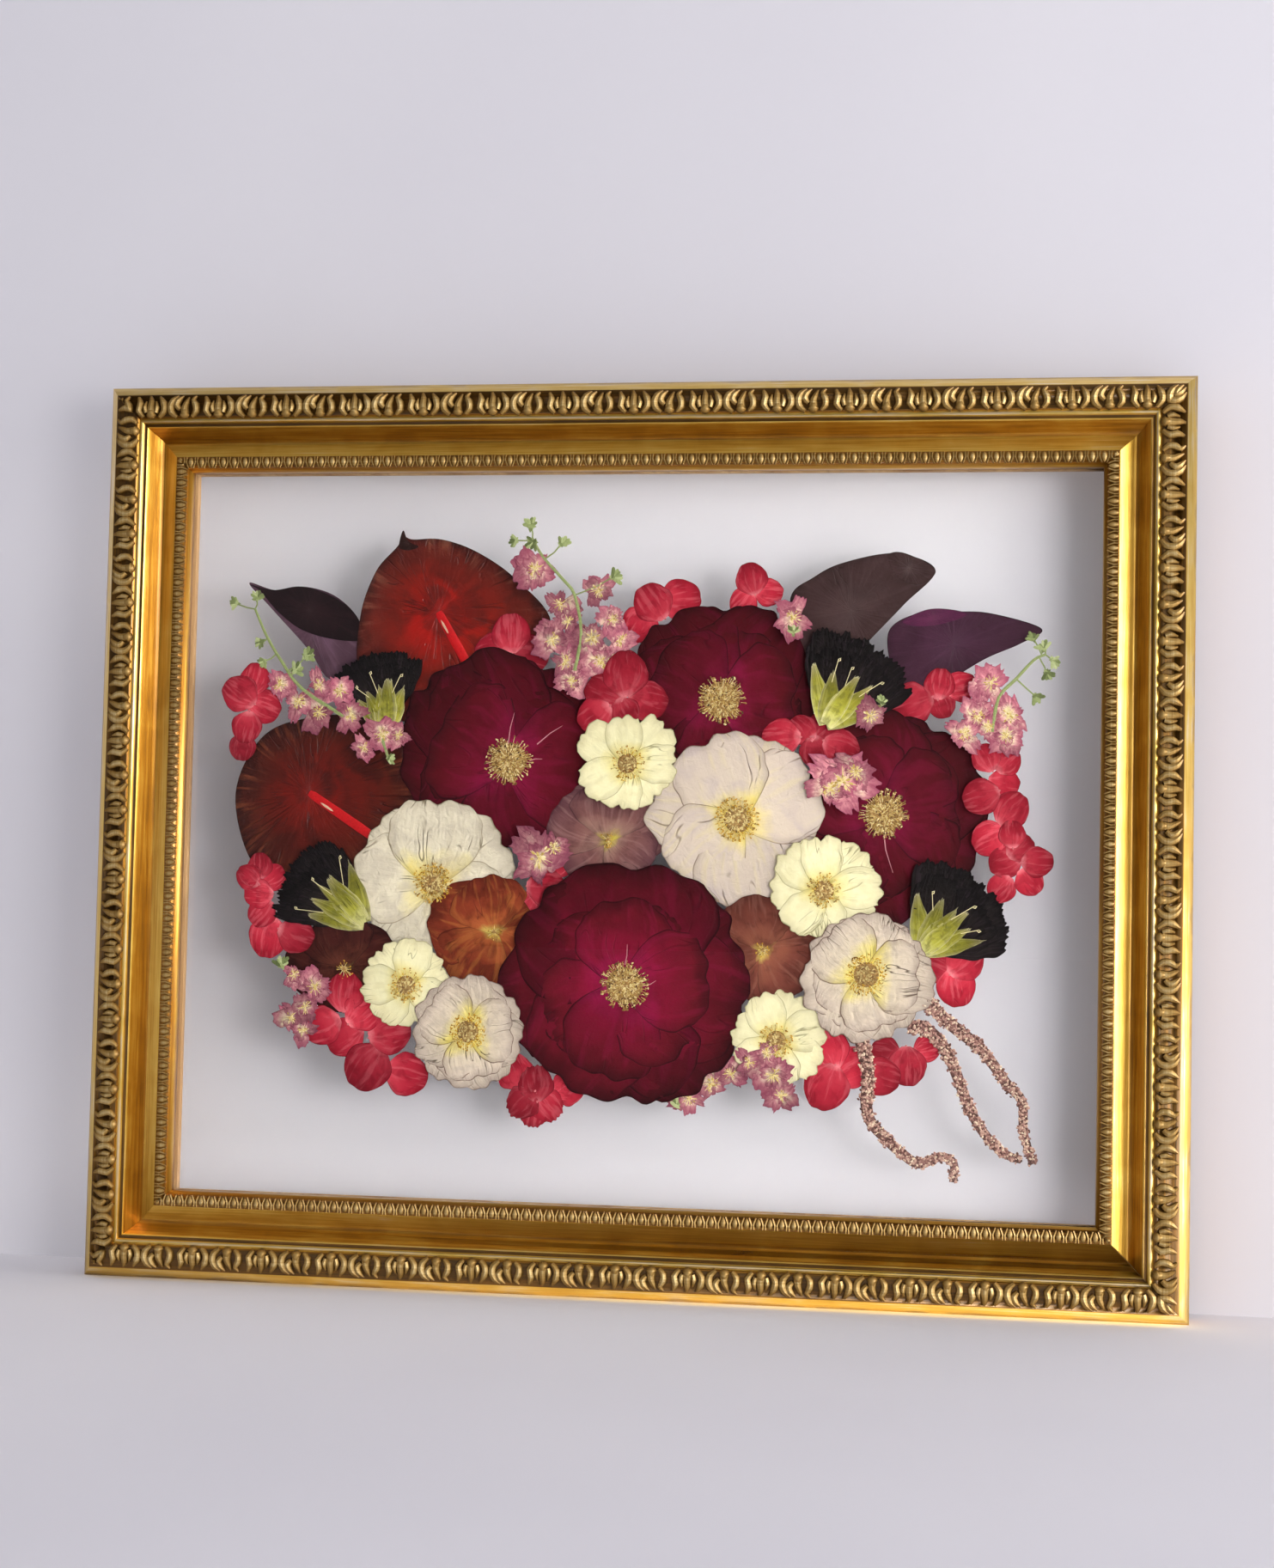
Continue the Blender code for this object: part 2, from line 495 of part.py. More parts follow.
def all_outlines():
    """The material and the outlines of every pressed piece, by name."""
    pieces = {}
    for name, (material, middle, disc, petals) in BLOOMS.items():
        pieces[name] = (material, bloom_outlines(middle, disc, petals))
    for name, petals in HYDRANGEAS.items():
        discs = [disc_outline((x, z), radius, 6, 20 * k) for k, (x, z, radius) in enumerate(petals)]
        pieces[name] = ("hydrangea", discs)
    for name, sprig in STOCKS.items():
        pieces[name] = ("stock", stock_outlines(**sprig))
    for name, carnation in CARNATIONS.items():
        pieces[name] = ("carnation", carnation_outlines(*carnation))
    for name, points in LEAVES.items():
        pieces[name] = ("purple_leaf", [smooth_outline(points)])
    for name, (spathe, spadix) in ANTHURIUMS.items():
        pieces[name] = ("anthurium", anthurium_outlines(spathe, spadix))
    for name, points in STRANDS.items():
        pieces[name] = ("amaranth", [strand_outline(points)])
    return pieces


def slab(outline, depth, collection):
    """A flat outline as a closed sheet, its front face a depth behind y = 0, from a 2D curve."""
    curve = bpy.data.curves.new("outline", "CURVE")
    curve.dimensions = "2D"
    curve.fill_mode = "BOTH"
    curve.extrude = PETAL / 2 * MM
    line = curve.splines.new("POLY")
    line.points.add(len(outline) - 1)
    for point, (x, z) in zip(line.points, outline):
        point.co = (x * MM, z * MM, 0, 1)
    line.use_cyclic_u = True
    drawn = bpy.data.objects.new("outline", curve)
    collection.objects.link(drawn)
    depsgraph = bpy.context.evaluated_depsgraph_get()
    mesh = bpy.data.meshes.new_from_object(drawn.evaluated_get(depsgraph))
    bpy.data.objects.remove(drawn)
    bpy.data.curves.remove(curve)
    bm = bmesh.new()
    bm.from_mesh(mesh)
    bmesh.ops.remove_doubles(bm, verts=bm.verts, dist=1e-6)
    upright = Matrix.Translation((0, (depth + PETAL / 2) * MM, 0)) @ Matrix.Rotation(math.pi / 2, 4, "X")
    bmesh.ops.transform(bm, matrix=upright, verts=bm.verts)
    bmesh.ops.recalc_face_normals(bm, faces=bm.faces)
    bm.to_mesh(mesh)
    bm.free()
    return mesh


class Pile:
    """How deep the flowers lie on the front pane, on a grid of 1 mm cells."""

    def __init__(self):
        xs = np.arange(-SIGHT_WIDTH / 2, SIGHT_WIDTH / 2)
        zs = np.arange(0, OUTER_HEIGHT)
        self.x, self.z = np.meshgrid(xs, zs)
        self.depth = np.zeros_like(self.x)

    def inside(self, outline):
        """The cells whose middles an outline holds."""
        held = np.zeros(self.x.shape, dtype=bool)
        for (ax, az), (bx, bz) in zip(outline, outline[1:] + outline[:1]):
            crosses = (az > self.z) != (bz > self.z)
            rise = bz - az if bz != az else 1.0
            held ^= crosses & (self.x < ax + (self.z - az) * (bx - ax) / rise)
        return held

    def lay(self, outlines, thickness):
        """Lay a piece on what is there, and return how deep its front lies."""
        held = np.any([self.inside(outline) for outline in outlines], axis=0)
        near = held.copy()
        for axis in (0, 1):
            near |= np.roll(near, 1, axis) | np.roll(near, -1, axis)
        front = self.depth[near].max() + FLOWER_GAP
        self.depth[near] = front + thickness
        return front


def build_flowers(collection):
    """Lay every pressed piece on the front pane in order, and build it where it lies."""
    pieces = all_outlines()
    pile = Pile()
    for name in LAYING_ORDER:
        material, outlines = pieces[name]
        depths = [STEP * (k % STEPS) for k in range(len(outlines))]
        front = pile.lay(outlines, max(depths) + PETAL)
        sheets = [slab(outline, depth, collection) for outline, depth in zip(outlines, depths)]
        mesh = sheets[0] if len(sheets) == 1 else unite(sheets)
        flower = add_object(name, mesh, collection, material)
        flower.location.y = (section_y(POCKET_FRONT) + front) * MM
    deepest = pile.depth.max()
    assert deepest + FLOWER_GAP <= POCKET, f"the flowers lie {deepest:.2f} mm deep"
    print(f"the flowers lie {deepest:.2f} mm deep in a pocket of {POCKET} mm")


def main():
    """Build the whole object."""
    clear_scene()
    collection = new_collection("pressed_flower_frame")
    build_frame(collection)
    build_pane("glass_front", FRONT_PANE, collection)
    build_pane("glass_back", BACK_PANE, collection)
    build_flowers(collection)


main()
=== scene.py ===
"""Pressed flowers floating between two panes of glass in a carved, gilded wooden frame.

Metres, +Z up, and the flowers face -Y. Sizes and places are written in millimetres and multiplied
by MM where they become geometry. Every pressed piece lies at the depth of the solid it replaces.
"""

import logging
import math
import random
from dataclasses import dataclass
from enum import Enum
from functools import cache
from typing import Callable, Sequence

import bmesh
import bpy
import numpy as np
from mathutils import Matrix, Vector, geometry


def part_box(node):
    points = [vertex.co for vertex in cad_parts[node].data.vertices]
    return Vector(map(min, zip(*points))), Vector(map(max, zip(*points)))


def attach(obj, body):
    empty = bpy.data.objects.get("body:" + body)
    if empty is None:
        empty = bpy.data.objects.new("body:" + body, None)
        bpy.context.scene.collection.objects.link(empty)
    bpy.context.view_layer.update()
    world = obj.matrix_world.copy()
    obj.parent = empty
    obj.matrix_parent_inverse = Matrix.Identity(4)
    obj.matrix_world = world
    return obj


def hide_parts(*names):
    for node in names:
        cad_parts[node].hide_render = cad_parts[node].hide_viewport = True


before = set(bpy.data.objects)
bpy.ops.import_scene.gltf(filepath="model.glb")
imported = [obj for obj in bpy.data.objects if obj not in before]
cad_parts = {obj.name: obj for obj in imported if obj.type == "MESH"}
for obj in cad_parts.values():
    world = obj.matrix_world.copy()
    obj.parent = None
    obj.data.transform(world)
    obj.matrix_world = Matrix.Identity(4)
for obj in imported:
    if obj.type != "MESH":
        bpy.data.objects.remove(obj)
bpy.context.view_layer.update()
LOG = logging.getLogger("pressed_flower_frame")
Place = tuple[float, float]
Spot = tuple[float, float, float]
MM = 0.001

class Slot(Enum):
    """The record's material slots, one named for each piece."""

    GILT_WOOD = "gilt_wood"
    ROSE_PETAL = "rose_petal"
    WHITE_PETAL = "white_petal"
    CREAM_PETAL = "cream_petal"
    MAUVE_PETAL = "mauve_petal"
    COPPER_PETAL = "copper_petal"
    BROWN_PETAL = "brown_petal"
    ANTHURIUM_SPATHE = "anthurium_spathe"
    PURPLE_LEAF = "purple_leaf"
    CARNATION_PETAL = "carnation_petal"
    HYDRANGEA_PETAL = "hydrangea_petal"
    STOCK_PETAL = "stock_petal"
    AMARANTH_TASSEL = "amaranth_tassel"


# ---- the frame's driving sizes, mm ----
PANE_WIDTH, PANE_HEIGHT = 508.0, 406.4
RABBET, FACE, DEPTH, LEDGE = 6.0, 47.5, 32.0, 14.0
SIGHT_WIDTH, SIGHT_HEIGHT = PANE_WIDTH - 2 * RABBET, PANE_HEIGHT - 2 * RABBET
CENTRE_HEIGHT = SIGHT_HEIGHT / 2 + FACE
PANE_FACE = 4.3 * MM  # y of the front pane's inner face
UPRIGHT = Matrix.Rotation(math.pi / 2, 4, "X")

# ---- open blooms: middle, stamen disc radius, petals as (direction, reach, breadth) ----
ROSES = {
    "rose_centre": ((-1, 165), 12, [(88, 66, 70), (28, 67, 52), (-8, 68, 50), (-45, 69, 50),
                    (-85, 63, 54), (-125, 63, 50), (-172, 68, 56), (140, 67, 50)]),
    "rose_left": ((-67.5, 285), 12, [(112, 62, 54), (72, 56, 44), (34, 57, 44), (-12, 50, 46),
                  (-75, 47, 46), (-140, 54, 48), (172, 61, 56), (142, 65, 42)]),
    "rose_top": ((48, 319), 12, [(128, 54, 46), (90, 51, 44), (54, 54, 44), (10, 50, 46),
                 (-32, 46, 42), (-85, 40, 44), (-145, 44, 44), (166, 51, 44)]),
    "rose_right": ((136, 259), 12, [(98, 55, 46), (62, 54, 42), (28, 57, 46), (-22, 55, 50),
                   (-72, 60, 44), (-112, 50, 40), (-165, 42, 42), (138, 46, 44)]),
}
WHITES = {
    "white_large": ((58, 255), 11, [(112, 47, 40), (70, 46, 38), (28, 47, 40),
                    (-18, 43, 36), (-78, 48, 44), (-138, 44, 38), (168, 49, 42)]),
    "white_left": ((-108, 218), 10, [(88, 46, 42), (30, 47, 40), (-26, 41, 36),
                   (-76, 36, 34), (-130, 41, 36), (176, 46, 38), (134, 45, 36)]),
    "white_bottom": ((-86, 138), 9, [(95, 31, 28), (42, 31, 27), (-10, 31, 26),
                     (-62, 32, 27), (-115, 31, 28), (-166, 31, 26), (146, 31, 27)]),
    "white_right": ((128, 174), 10, [(88, 33, 30), (38, 33, 28), (-10, 37, 30),
                    (-62, 35, 29), (-112, 37, 30), (-163, 36, 29), (140, 33, 29)]),
}
CREAMS = {
    "cream_top": ((-2, 284), 8, [(98, 26, 18), (45, 30, 20), (0, 27, 19),
                  (-48, 25, 20), (-100, 25, 20), (-150, 28, 20), (146, 30, 21)]),
    "cream_right": ((105, 218), 8, [(95, 29, 20), (48, 30, 21), (5, 31, 20),
                    (-40, 29, 20), (-86, 25, 20), (-132, 28, 19), (-178, 29, 20), (138, 30, 20)]),
    "cream_left": ((-121, 162), 8, [(78, 26, 19), (28, 24, 18), (-22, 23, 18),
                   (-74, 22, 18), (-126, 24, 18), (180, 25, 19), (128, 25, 18)]),
    "cream_bottom": ((81, 138), 8, [(112, 26, 19), (68, 27, 19), (20, 27, 19),
                     (-30, 27, 19), (-82, 24, 19), (-140, 24, 19), (164, 24, 18)]),
}
DUSKY = {
    "mauve_bloom": ((-12, 243), 5, [(84, 28, 32), (30, 29, 28), (-35, 24, 28),
                    (-145, 25, 28), (146, 30, 30)]),
    "copper_bloom_left": ((-73, 192), 5, [(104, 27, 30), (166, 33, 32),
                          (-125, 31, 32), (30, 20, 24), (-50, 22, 26)]),
    "copper_bloom_right": ((73, 186), 5, [(100, 26, 28), (32, 30, 28),
                           (-38, 27, 28), (-108, 25, 28), (172, 24, 28)]),
    "brown_bloom": ((-156, 170), 6, [(104, 27, 28), (168, 30, 26), (-128, 22, 24),
                    (18, 27, 28), (-56, 20, 24)]),
}

# ---- long pale filaments that lie over a bloom ----
LONG_FILAMENTS = {
    "rose_left": [[(-68, 294), (-67, 303), (-65, 311)], [(-56, 285), (-53, 286), (-49, 286)],
                  [(-52, 294), (-45, 300), (-37, 305)]],
    "rose_right": [[(136, 248), (137, 240), (141, 228)]],
    "rose_centre": [[(-1, 176), (0, 181), (0, 187)], [(9, 165), (13, 166), (16, 168)]],
}

# ---- clusters of round petals: middle x, middle z, radius ----
HYDRANGEAS = {
    "hydrangea_left_top": [(-219, 320, 10), (-211, 328, 8.5), (-206, 313, 9.5), (-215, 302, 8.5),
                           (-217, 291, 7.5)],
    "hydrangea_by_anthurium": [(-68, 354, 10.5), (-77, 344, 10.5), (-58, 343, 10.5)],
    "hydrangea_behind_rose": [(10, 371, 10.5), (24, 373, 11), (3, 360, 10)],
    "hydrangea_middle": [(-4, 332, 12), (-15, 322, 10.5), (8, 318, 10.5), (-20, 310, 9.5), (-4, 312, 8)],
    "hydrangea_top": [(63, 384, 8.5), (72, 377, 7.5), (59, 372, 7.5)],
    "hydrangea_by_white": [(81, 299, 10), (92, 303, 8), (104, 304, 9.5), (112, 294, 9.5), (99, 292, 8.5)],
    "hydrangea_right_top": [(164, 328, 8), (175, 327, 8), (165, 318, 7.5), (150, 318, 11)],
    "hydrangea_right_chain": [(189, 289, 7.5), (200, 287, 7), (198, 276, 8), (187, 269, 9.5),
                              (202, 262, 9.5), (192, 247, 9.5), (203, 249, 7), (207, 242, 7.5),
                              (200, 235, 8.5), (216, 235, 8), (212, 225, 7.5), (198, 221, 7.5)],
    "hydrangea_left_low": [(-211, 219, 7), (-205, 225, 7), (-198, 219, 7.5), (-205, 210, 8),
                           (-203, 200, 8), (-199, 187, 11), (-184, 188, 10)],
    "hydrangea_by_copper": [(-46, 217, 10), (-58, 205, 10), (-39, 229, 7.5)],
    "hydrangea_bottom_left": [(-155, 157, 10.5), (-167, 139, 10.5), (-154, 133, 10.5), (-145, 147, 10.5),
                              (-141, 118, 13), (-120, 114, 11.5), (-130, 136, 11.5)],
    "hydrangea_bottom": [(-55, 101, 9), (-42, 100, 9), (-49, 96, 8), (-48, 111, 9.5), (-60, 117, 10), (-31, 109, 9)],
    "hydrangea_bottom_right": [(108, 115, 12), (108, 134, 11.5), (120, 125, 11), (136, 121, 10)],
    "hydrangea_by_strands": [(150, 127, 10), (139, 134, 7.5), (160, 136, 7)],
    "hydrangea_by_carnation": [(179, 182, 10), (175, 169, 10), (167, 180, 9.5)],
}

# ---- sprigs of stock: stems as lines of points, florets and buds as (x, z, radius) ----
STOCKS = {
    "stock_left": {
        "stems": [[(-212, 367), (-205, 352), (-196, 338), (-184, 323), (-160, 308)]],
        "buds": [(-223, 370, 4), (-211, 373, 4.5), (-208, 349, 4), (-206, 338, 4), (-182, 341, 5.5),
                 (-188, 333, 5)],
        "florets": [(-197, 325, 10), (-186, 316, 10.5), (-174, 310, 10), (-162, 322, 10),
                    (-156, 309, 10.5), (-174, 325, 9)]},
    "stock_top": {
        "stems": [[(-57, 406), (-51, 396), (-39, 383), (-33, 375), (-29, 355), (-32, 334)]],
        "buds": [(-66, 405, 4.5), (-58, 413, 5), (-56, 404, 4.5), (-41, 403, 4.5), (-12, 385, 5)],
        "florets": [(-55, 389, 11), (-20, 378, 10.5), (-41, 370, 9), (-36, 361, 9), (-45, 351, 11),
                    (-37, 339, 10.5), (-23, 352, 11), (-18, 339, 10.5), (-7, 351, 10.5), (-33, 328, 8.5),
                    (-12, 362, 8.5)]},
    "stock_right": {
        "stems": [[(219, 344), (213, 341), (204, 331), (195, 321), (192, 303)]],
        "buds": [(218, 347, 5), (223, 341, 4.5), (220, 334, 4.5), (213, 352, 4), (214, 322, 4.5)],
        "florets": [(191, 329, 10.5), (201, 312, 11), (199, 301, 10), (190, 306, 9), (178, 302, 10),
                    (184, 311, 10)]},
    "stock_beside_leaf": {"stems": [], "buds": [(86, 355, 4)], "florets": [(86, 363, 10.5)]},
    "stock_by_calyx": {"stems": [], "buds": [(134, 318, 3.5)], "florets": [(128, 311, 10.5)]},
    "stock_on_rose": {"stems": [], "buds": [],
                      "florets": [(114, 276, 17), (107, 272, 10.5), (121, 281, 10.5)]},
    "stock_by_leaf_left": {"stems": [[(-134, 285), (-138, 296)]], "buds": [(-134, 285, 4)],
                           "florets": [(-138, 298, 10.5), (-148, 291, 8), (-129, 298, 7.5)]},
    "stock_star": {"stems": [], "buds": [], "florets": [(-49, 233, 17), (-41, 238, 9)]},
    "stock_bottom_left": {"stems": [], "buds": [(-191, 171, 5)],
                          "florets": [(-184, 166, 8), (-172, 160, 10.5), (-177, 149, 9), (-185, 143, 8),
                                      (-178, 136, 7.5)]},
    "stock_bottom": {"stems": [], "buds": [(28, 102, 4)],
                     "florets": [(47, 114, 11), (35, 106, 9), (57, 120, 9)]},
    "stock_bottom_right": {"stems": [], "buds": [],
                           "florets": [(80, 120, 11), (76, 131, 8.5), (67, 126, 8.5), (84, 109, 8.5)]},
}

# ---- carnations seen from the side: calyx base, direction, reach, half spread ----
CARNATIONS = {
    "carnation_left_top": ((-136, 303), 102, 44, 36),
    "carnation_left_low": ((-146, 196), 144, 54, 32),
    "carnation_right_top": ((105, 307), 62, 52, 38),
    "carnation_right_low": ((158, 188), 50, 50, 42),
}

# ---- leaves and spathes: a few points that a smooth closed outline runs through ----
LEAVES = {
    "leaf_left": [(-217, 382), (-202, 378), (-186, 380), (-168, 375), (-154, 362), (-150, 345),
                  (-153, 328), (-170, 329), (-182, 345), (-205, 369)],
    "leaf_right_tall": [(84, 374), (96, 385), (112, 393), (140, 398), (161, 389), (145, 371),
                        (130, 355), (112, 336), (97, 324), (88, 345)],
    "leaf_right_wide": [(137, 357), (152, 366), (172, 367), (191, 366), (217, 358), (206, 350),
                        (188, 342), (166, 329), (145, 322), (138, 338)],
}
NIGHT_FOLD = [(-216, 381), (-203, 378), (-187, 380), (-170, 375), (-157, 366), (-151, 355), (-153, 350), (-169, 351),
              (-186, 356), (-200, 366), (-210, 377)]
BROWN_FOLD = [(136, 397), (145, 398), (161, 389), (152, 381), (140, 386)]
MAGENTA_FOLD = [(144, 362), (157, 368), (170, 368), (178, 365), (164, 360), (150, 359)]
THORN_FOLD = [(-130, 411), (-127, 405), (-121, 402), (-127, 400), (-132, 402)]
LEAF_RIB = [(-180, 352), (-176, 344), (-168, 329)]
ANTHURIUMS = {
    "anthurium_top": ([(-129, 407), (-134, 401), (-145, 388), (-153, 363), (-152, 330), (-128, 306), (-92, 308),
                       (-60, 330), (-46, 360), (-66, 384), (-88, 399), (-108, 406), (-124, 406)],
                      ((-109, 366), (-91, 336))),
    "anthurium_left": ([(-221, 265), (-211, 228), (-188, 211), (-158, 216), (-128, 235), (-114, 266),
                        (-122, 294), (-150, 308), (-182, 307), (-207, 296)], ((-179, 266), (-137, 239))),
}

# ---- hanging tassels of amaranth, along their middles ----
STRANDS = {
    "amaranth_strand_left": [(126, 139), (129, 128), (130, 118), (129, 108), (131, 98), (138, 90),
                             (147, 82), (157, 76), (168, 80), (175, 77), (175, 67)],
    "amaranth_strand_middle": [(150, 147), (158, 147), (166, 141), (172, 132), (176, 123), (181, 110),
                               (187, 98), (195, 88), (203, 82), (210, 80)],
    "amaranth_strand_right": [(160, 161), (169, 152), (178, 145), (187, 138), (194, 130), (202, 119),
                              (210, 110), (211, 94), (216, 78)],
}


# ======== modelling ========
class Bench:
    """The hand tools that every piece is modelled with."""

    @staticmethod
    def take(obj: bpy.types.Object) -> bpy.types.Object:
        """Make an object the only selected one, and the active one."""
        if bpy.context.object and bpy.context.object.mode != "OBJECT":
            bpy.ops.object.mode_set(mode="OBJECT")
        bpy.ops.object.select_all(action="DESELECT")
        obj.select_set(True)
        bpy.context.view_layer.objects.active = obj
        return obj

    @staticmethod
    def edit(obj: bpy.types.Object) -> None:
        """Open an object in edit mode with all of it selected."""
        Bench.take(obj)
        bpy.ops.object.mode_set(mode="EDIT")
        bpy.ops.mesh.select_all(action="SELECT")

    @staticmethod
    def close() -> None:
        """Go back to object mode."""
        bpy.ops.object.mode_set(mode="OBJECT")

    @staticmethod
    def pick(obj: bpy.types.Object, test: Callable[[int, Vector], bool]) -> None:
        """Select the vertices of the edited mesh that pass a test.

        Args:
            obj: the object in edit mode.
            test: takes a vertex's number and place.
        """
        bm = bmesh.from_edit_mesh(obj.data)
        for vert in bm.verts:
            vert.select = test(vert.index, vert.co)
        bm.select_flush_mode()
        bmesh.update_edit_mesh(obj.data, loop_triangles=False, destructive=False)

    @staticmethod
    def turn(degrees: float, centre: Spot, axis: str = "Z") -> None:
        """Turn what is selected counterclockwise about an axis through a point."""
        bpy.ops.transform.rotate(value=-math.radians(degrees), orient_axis=axis, center_override=centre)

    @staticmethod
    def apply(obj: bpy.types.Object, kind: str, **settings: object) -> None:
        """Add a modifier with its settings and apply it at once."""
        modifier = obj.modifiers.new(kind.lower(), kind)
        for name, value in settings.items():
            setattr(modifier, name, value)
        Bench.take(obj)
        bpy.ops.object.modifier_apply(modifier=modifier.name)

    @staticmethod
    def settle(obj: bpy.types.Object) -> None:
        """Move an object's place, turn and size into its mesh."""
        Bench.take(obj)
        bpy.ops.object.transform_apply(location=True, rotation=True, scale=True)

    @staticmethod
    def crumple(obj: bpy.types.Object, strength: float, grain: float, where: Spot, group: str = "") -> None:
        """Push a sheet in and out at random, as much as a vertex group says.

        Args:
            obj: the sheet, lying flat.
            strength: how far, at most.
            grain: the size of the bumps.
            where: a place in the random field, other for each sheet.
            group: the vertex group that weighs it.
        """
        bumps = bpy.data.textures.new("crumple", "CLOUDS")
        bumps.noise_scale = grain
        obj.location = where
        bpy.context.view_layer.update()
        Bench.apply(obj, "DISPLACE", texture=bumps, texture_coords="GLOBAL", strength=strength,
                    mid_level=0.5, vertex_group=group)
        obj.location = (0, 0, 0)


@dataclass
class Mould:
    """A modelled shape held as arrays, ready to be copied into place."""

    points: np.ndarray
    corners: np.ndarray
    counts: np.ndarray
    uvs: np.ndarray
    tones: np.ndarray

    @classmethod
    def of(cls, obj: bpy.types.Object) -> "Mould":
        """Take the shape of a modelled object and remove the object.

        Args:
            obj: a mesh object at the origin, with its modifiers applied.

        Returns:
            The mould, its tones all zero.
        """
        if obj.mode != "OBJECT":
            Bench.close()
        mesh = obj.data
        points = np.zeros(len(mesh.vertices) * 3)
        mesh.vertices.foreach_get("co", points)
        corners = np.zeros(len(mesh.loops), dtype=np.int64)
        mesh.loops.foreach_get("vertex_index", corners)
        counts = np.zeros(len(mesh.polygons), dtype=np.int64)
        mesh.polygons.foreach_get("loop_total", counts)
        uvs = np.zeros(len(mesh.loops) * 2)
        if mesh.uv_layers:
            mesh.uv_layers[0].data.foreach_get("uv", uvs)
        bpy.data.objects.remove(obj)
        bpy.data.meshes.remove(mesh)
        return cls(points.reshape(-1, 3), corners, counts, uvs.reshape(-1, 2), np.zeros(len(points) // 3))


class Gathering:
    """Copies of moulds gathered into one mesh object."""

    def __init__(self, name: str, coats: Sequence[bpy.types.Material]) -> None:
        """Start an empty gathering.

        Args:
            name: the finished piece's name.
            coats: its materials, in slot order.
        """
        self.name = name
        self.coats = list(coats)
        self.moulds: list[Mould] = []
        self.slots: list[np.ndarray] = []
        self.total = 0

    def add(self, mould: Mould, place: Matrix, slot: int = 0, tone: float = 0.0) -> None:
        """Set one copy of a mould in place.

        Args:
            mould: the shape.
            place: where it goes, from the mould's own space to the row frame.
            slot: the material slot of its faces.
            tone: what is added to its tones.
        """
        matrix = np.array(place)
        points = mould.points @ matrix[:3, :3].T + matrix[:3, 3]
        self.moulds.append(Mould(points, mould.corners + self.total, mould.counts, mould.uvs,
                                 mould.tones + tone))
        self.slots.append(np.full(len(mould.counts), slot, dtype=np.int64))
        self.total += len(points)

    def build(self, sharp: float = 40.0) -> bpy.types.Object:
        """Make the mesh object of all the copies.

        Args:
            sharp: the angle, in degrees, past which an edge shows as sharp.

        Returns:
            The finished object, at the origin, with its place in its mesh.
        """
        points, corners, counts, uvs, tones = (
            np.concatenate([getattr(mould, part) for mould in self.moulds])
            for part in ("points", "corners", "counts", "uvs", "tones"))
        mesh = bpy.data.meshes.new(self.name)
        mesh.vertices.add(len(points))
        mesh.vertices.foreach_set("co", points.ravel())
        mesh.loops.add(len(corners))
        mesh.loops.foreach_set("vertex_index", corners)
        mesh.polygons.add(len(counts))
        mesh.polygons.foreach_set("loop_start", np.concatenate(([0], np.cumsum(counts)[:-1])))
        mesh.polygons.foreach_set("loop_total", counts)
        for layer in self.coats:
            mesh.materials.append(layer)
        mesh.polygons.foreach_set("material_index", np.concatenate(self.slots))
        mesh.update(calc_edges=True)
        mesh.uv_layers.new(name="UVMap").data.foreach_set("uv", uvs.ravel())
        mesh.attributes.new("tone", "FLOAT", "POINT").data.foreach_set("value", tones)
        obj = bpy.data.objects.new(self.name, mesh)
        bpy.context.scene.collection.objects.link(obj)
        Bench.take(obj)
        bpy.ops.object.shade_smooth_by_angle(angle=math.radians(sharp))
        return obj


def hand_over(piece: bpy.types.Object, slot: Slot, *nodes: str) -> None:
    """Let a finished piece ride on the frame, in place of the solids it stands for.

    Args:
        piece: the finished object.
        slot: not used.
        nodes: the solids it replaces.
    """
    if nodes:
        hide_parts(*nodes)
    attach(piece, "root")
    LOG.info("%s: %d faces", piece.name, len(piece.data.polygons))


def polar(middle: Place, angle: float, distance: float) -> Place:
    """The point at a distance from another, in a direction in degrees."""
    turn = math.radians(angle)
    return middle[0] + distance * math.cos(turn), middle[1] + distance * math.sin(turn)


def laid(middle: Place, y: float, angle: float = 0.0, size: Spot = (1, 1, 1), roll: float = 0.0) -> Matrix:
    """Where a flat shape modelled in mm along +X, facing +Z, goes among the pressed flowers.

    Args:
        middle: where its origin goes, x and z in mm.
        y: how deep it lies, in metres.
        angle: the direction of its X axis, in degrees.
        size: what its X, Y and Z are multiplied by.
        roll: how far it is turned about its own X axis, in degrees.

    Returns:
        The matrix from the shape's space to the row frame.
    """
    spot = Matrix.Translation((middle[0] * MM, y, middle[1] * MM)) @ UPRIGHT
    turn = Matrix.Rotation(math.radians(angle), 4, "Z") @ Matrix.Rotation(math.radians(roll), 4, "X")
    return spot @ turn @ Matrix.Diagonal((*(Vector(size) * MM), 1))


def front_of(node: str) -> float:
    """How deep a pressed piece's front lies, in metres."""
    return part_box(node)[0].y


def smooth_outline(points: Sequence[Place], spans: int = 8) -> list[Place]:
    """A closed Catmull-Rom curve through points.

    Args:
        points: the points, in order round the outline.
        spans: how many steps each stretch is drawn in.

    Returns:
        The curve's points.
    """
    outline = []
    for k in range(len(points)):
        a, b, c, d = (Vector(points[(k + shift) % len(points)]) for shift in (-1, 0, 1, 2))
        for step in range(spans):
            t = step / spans
            spot = b + (c - a) * t / 2 + (a - 2.5 * b + 2 * c - d / 2) * t**2
            outline.append(tuple(spot + (1.5 * (b - c) + (d - a) / 2) * t**3))
    return outline


def smooth_line(points: Sequence[Place], spans: int = 3) -> list[Place]:
    """An open curve through points, from the first to the last."""
    ends = [2 * Vector(points[0]) - Vector(points[1]), 2 * Vector(points[-1]) - Vector(points[-2])]
    curve = smooth_outline([*points, tuple(ends[1]), tuple(ends[0])], spans)
    return curve[: (len(points) - 1) * spans + 1]


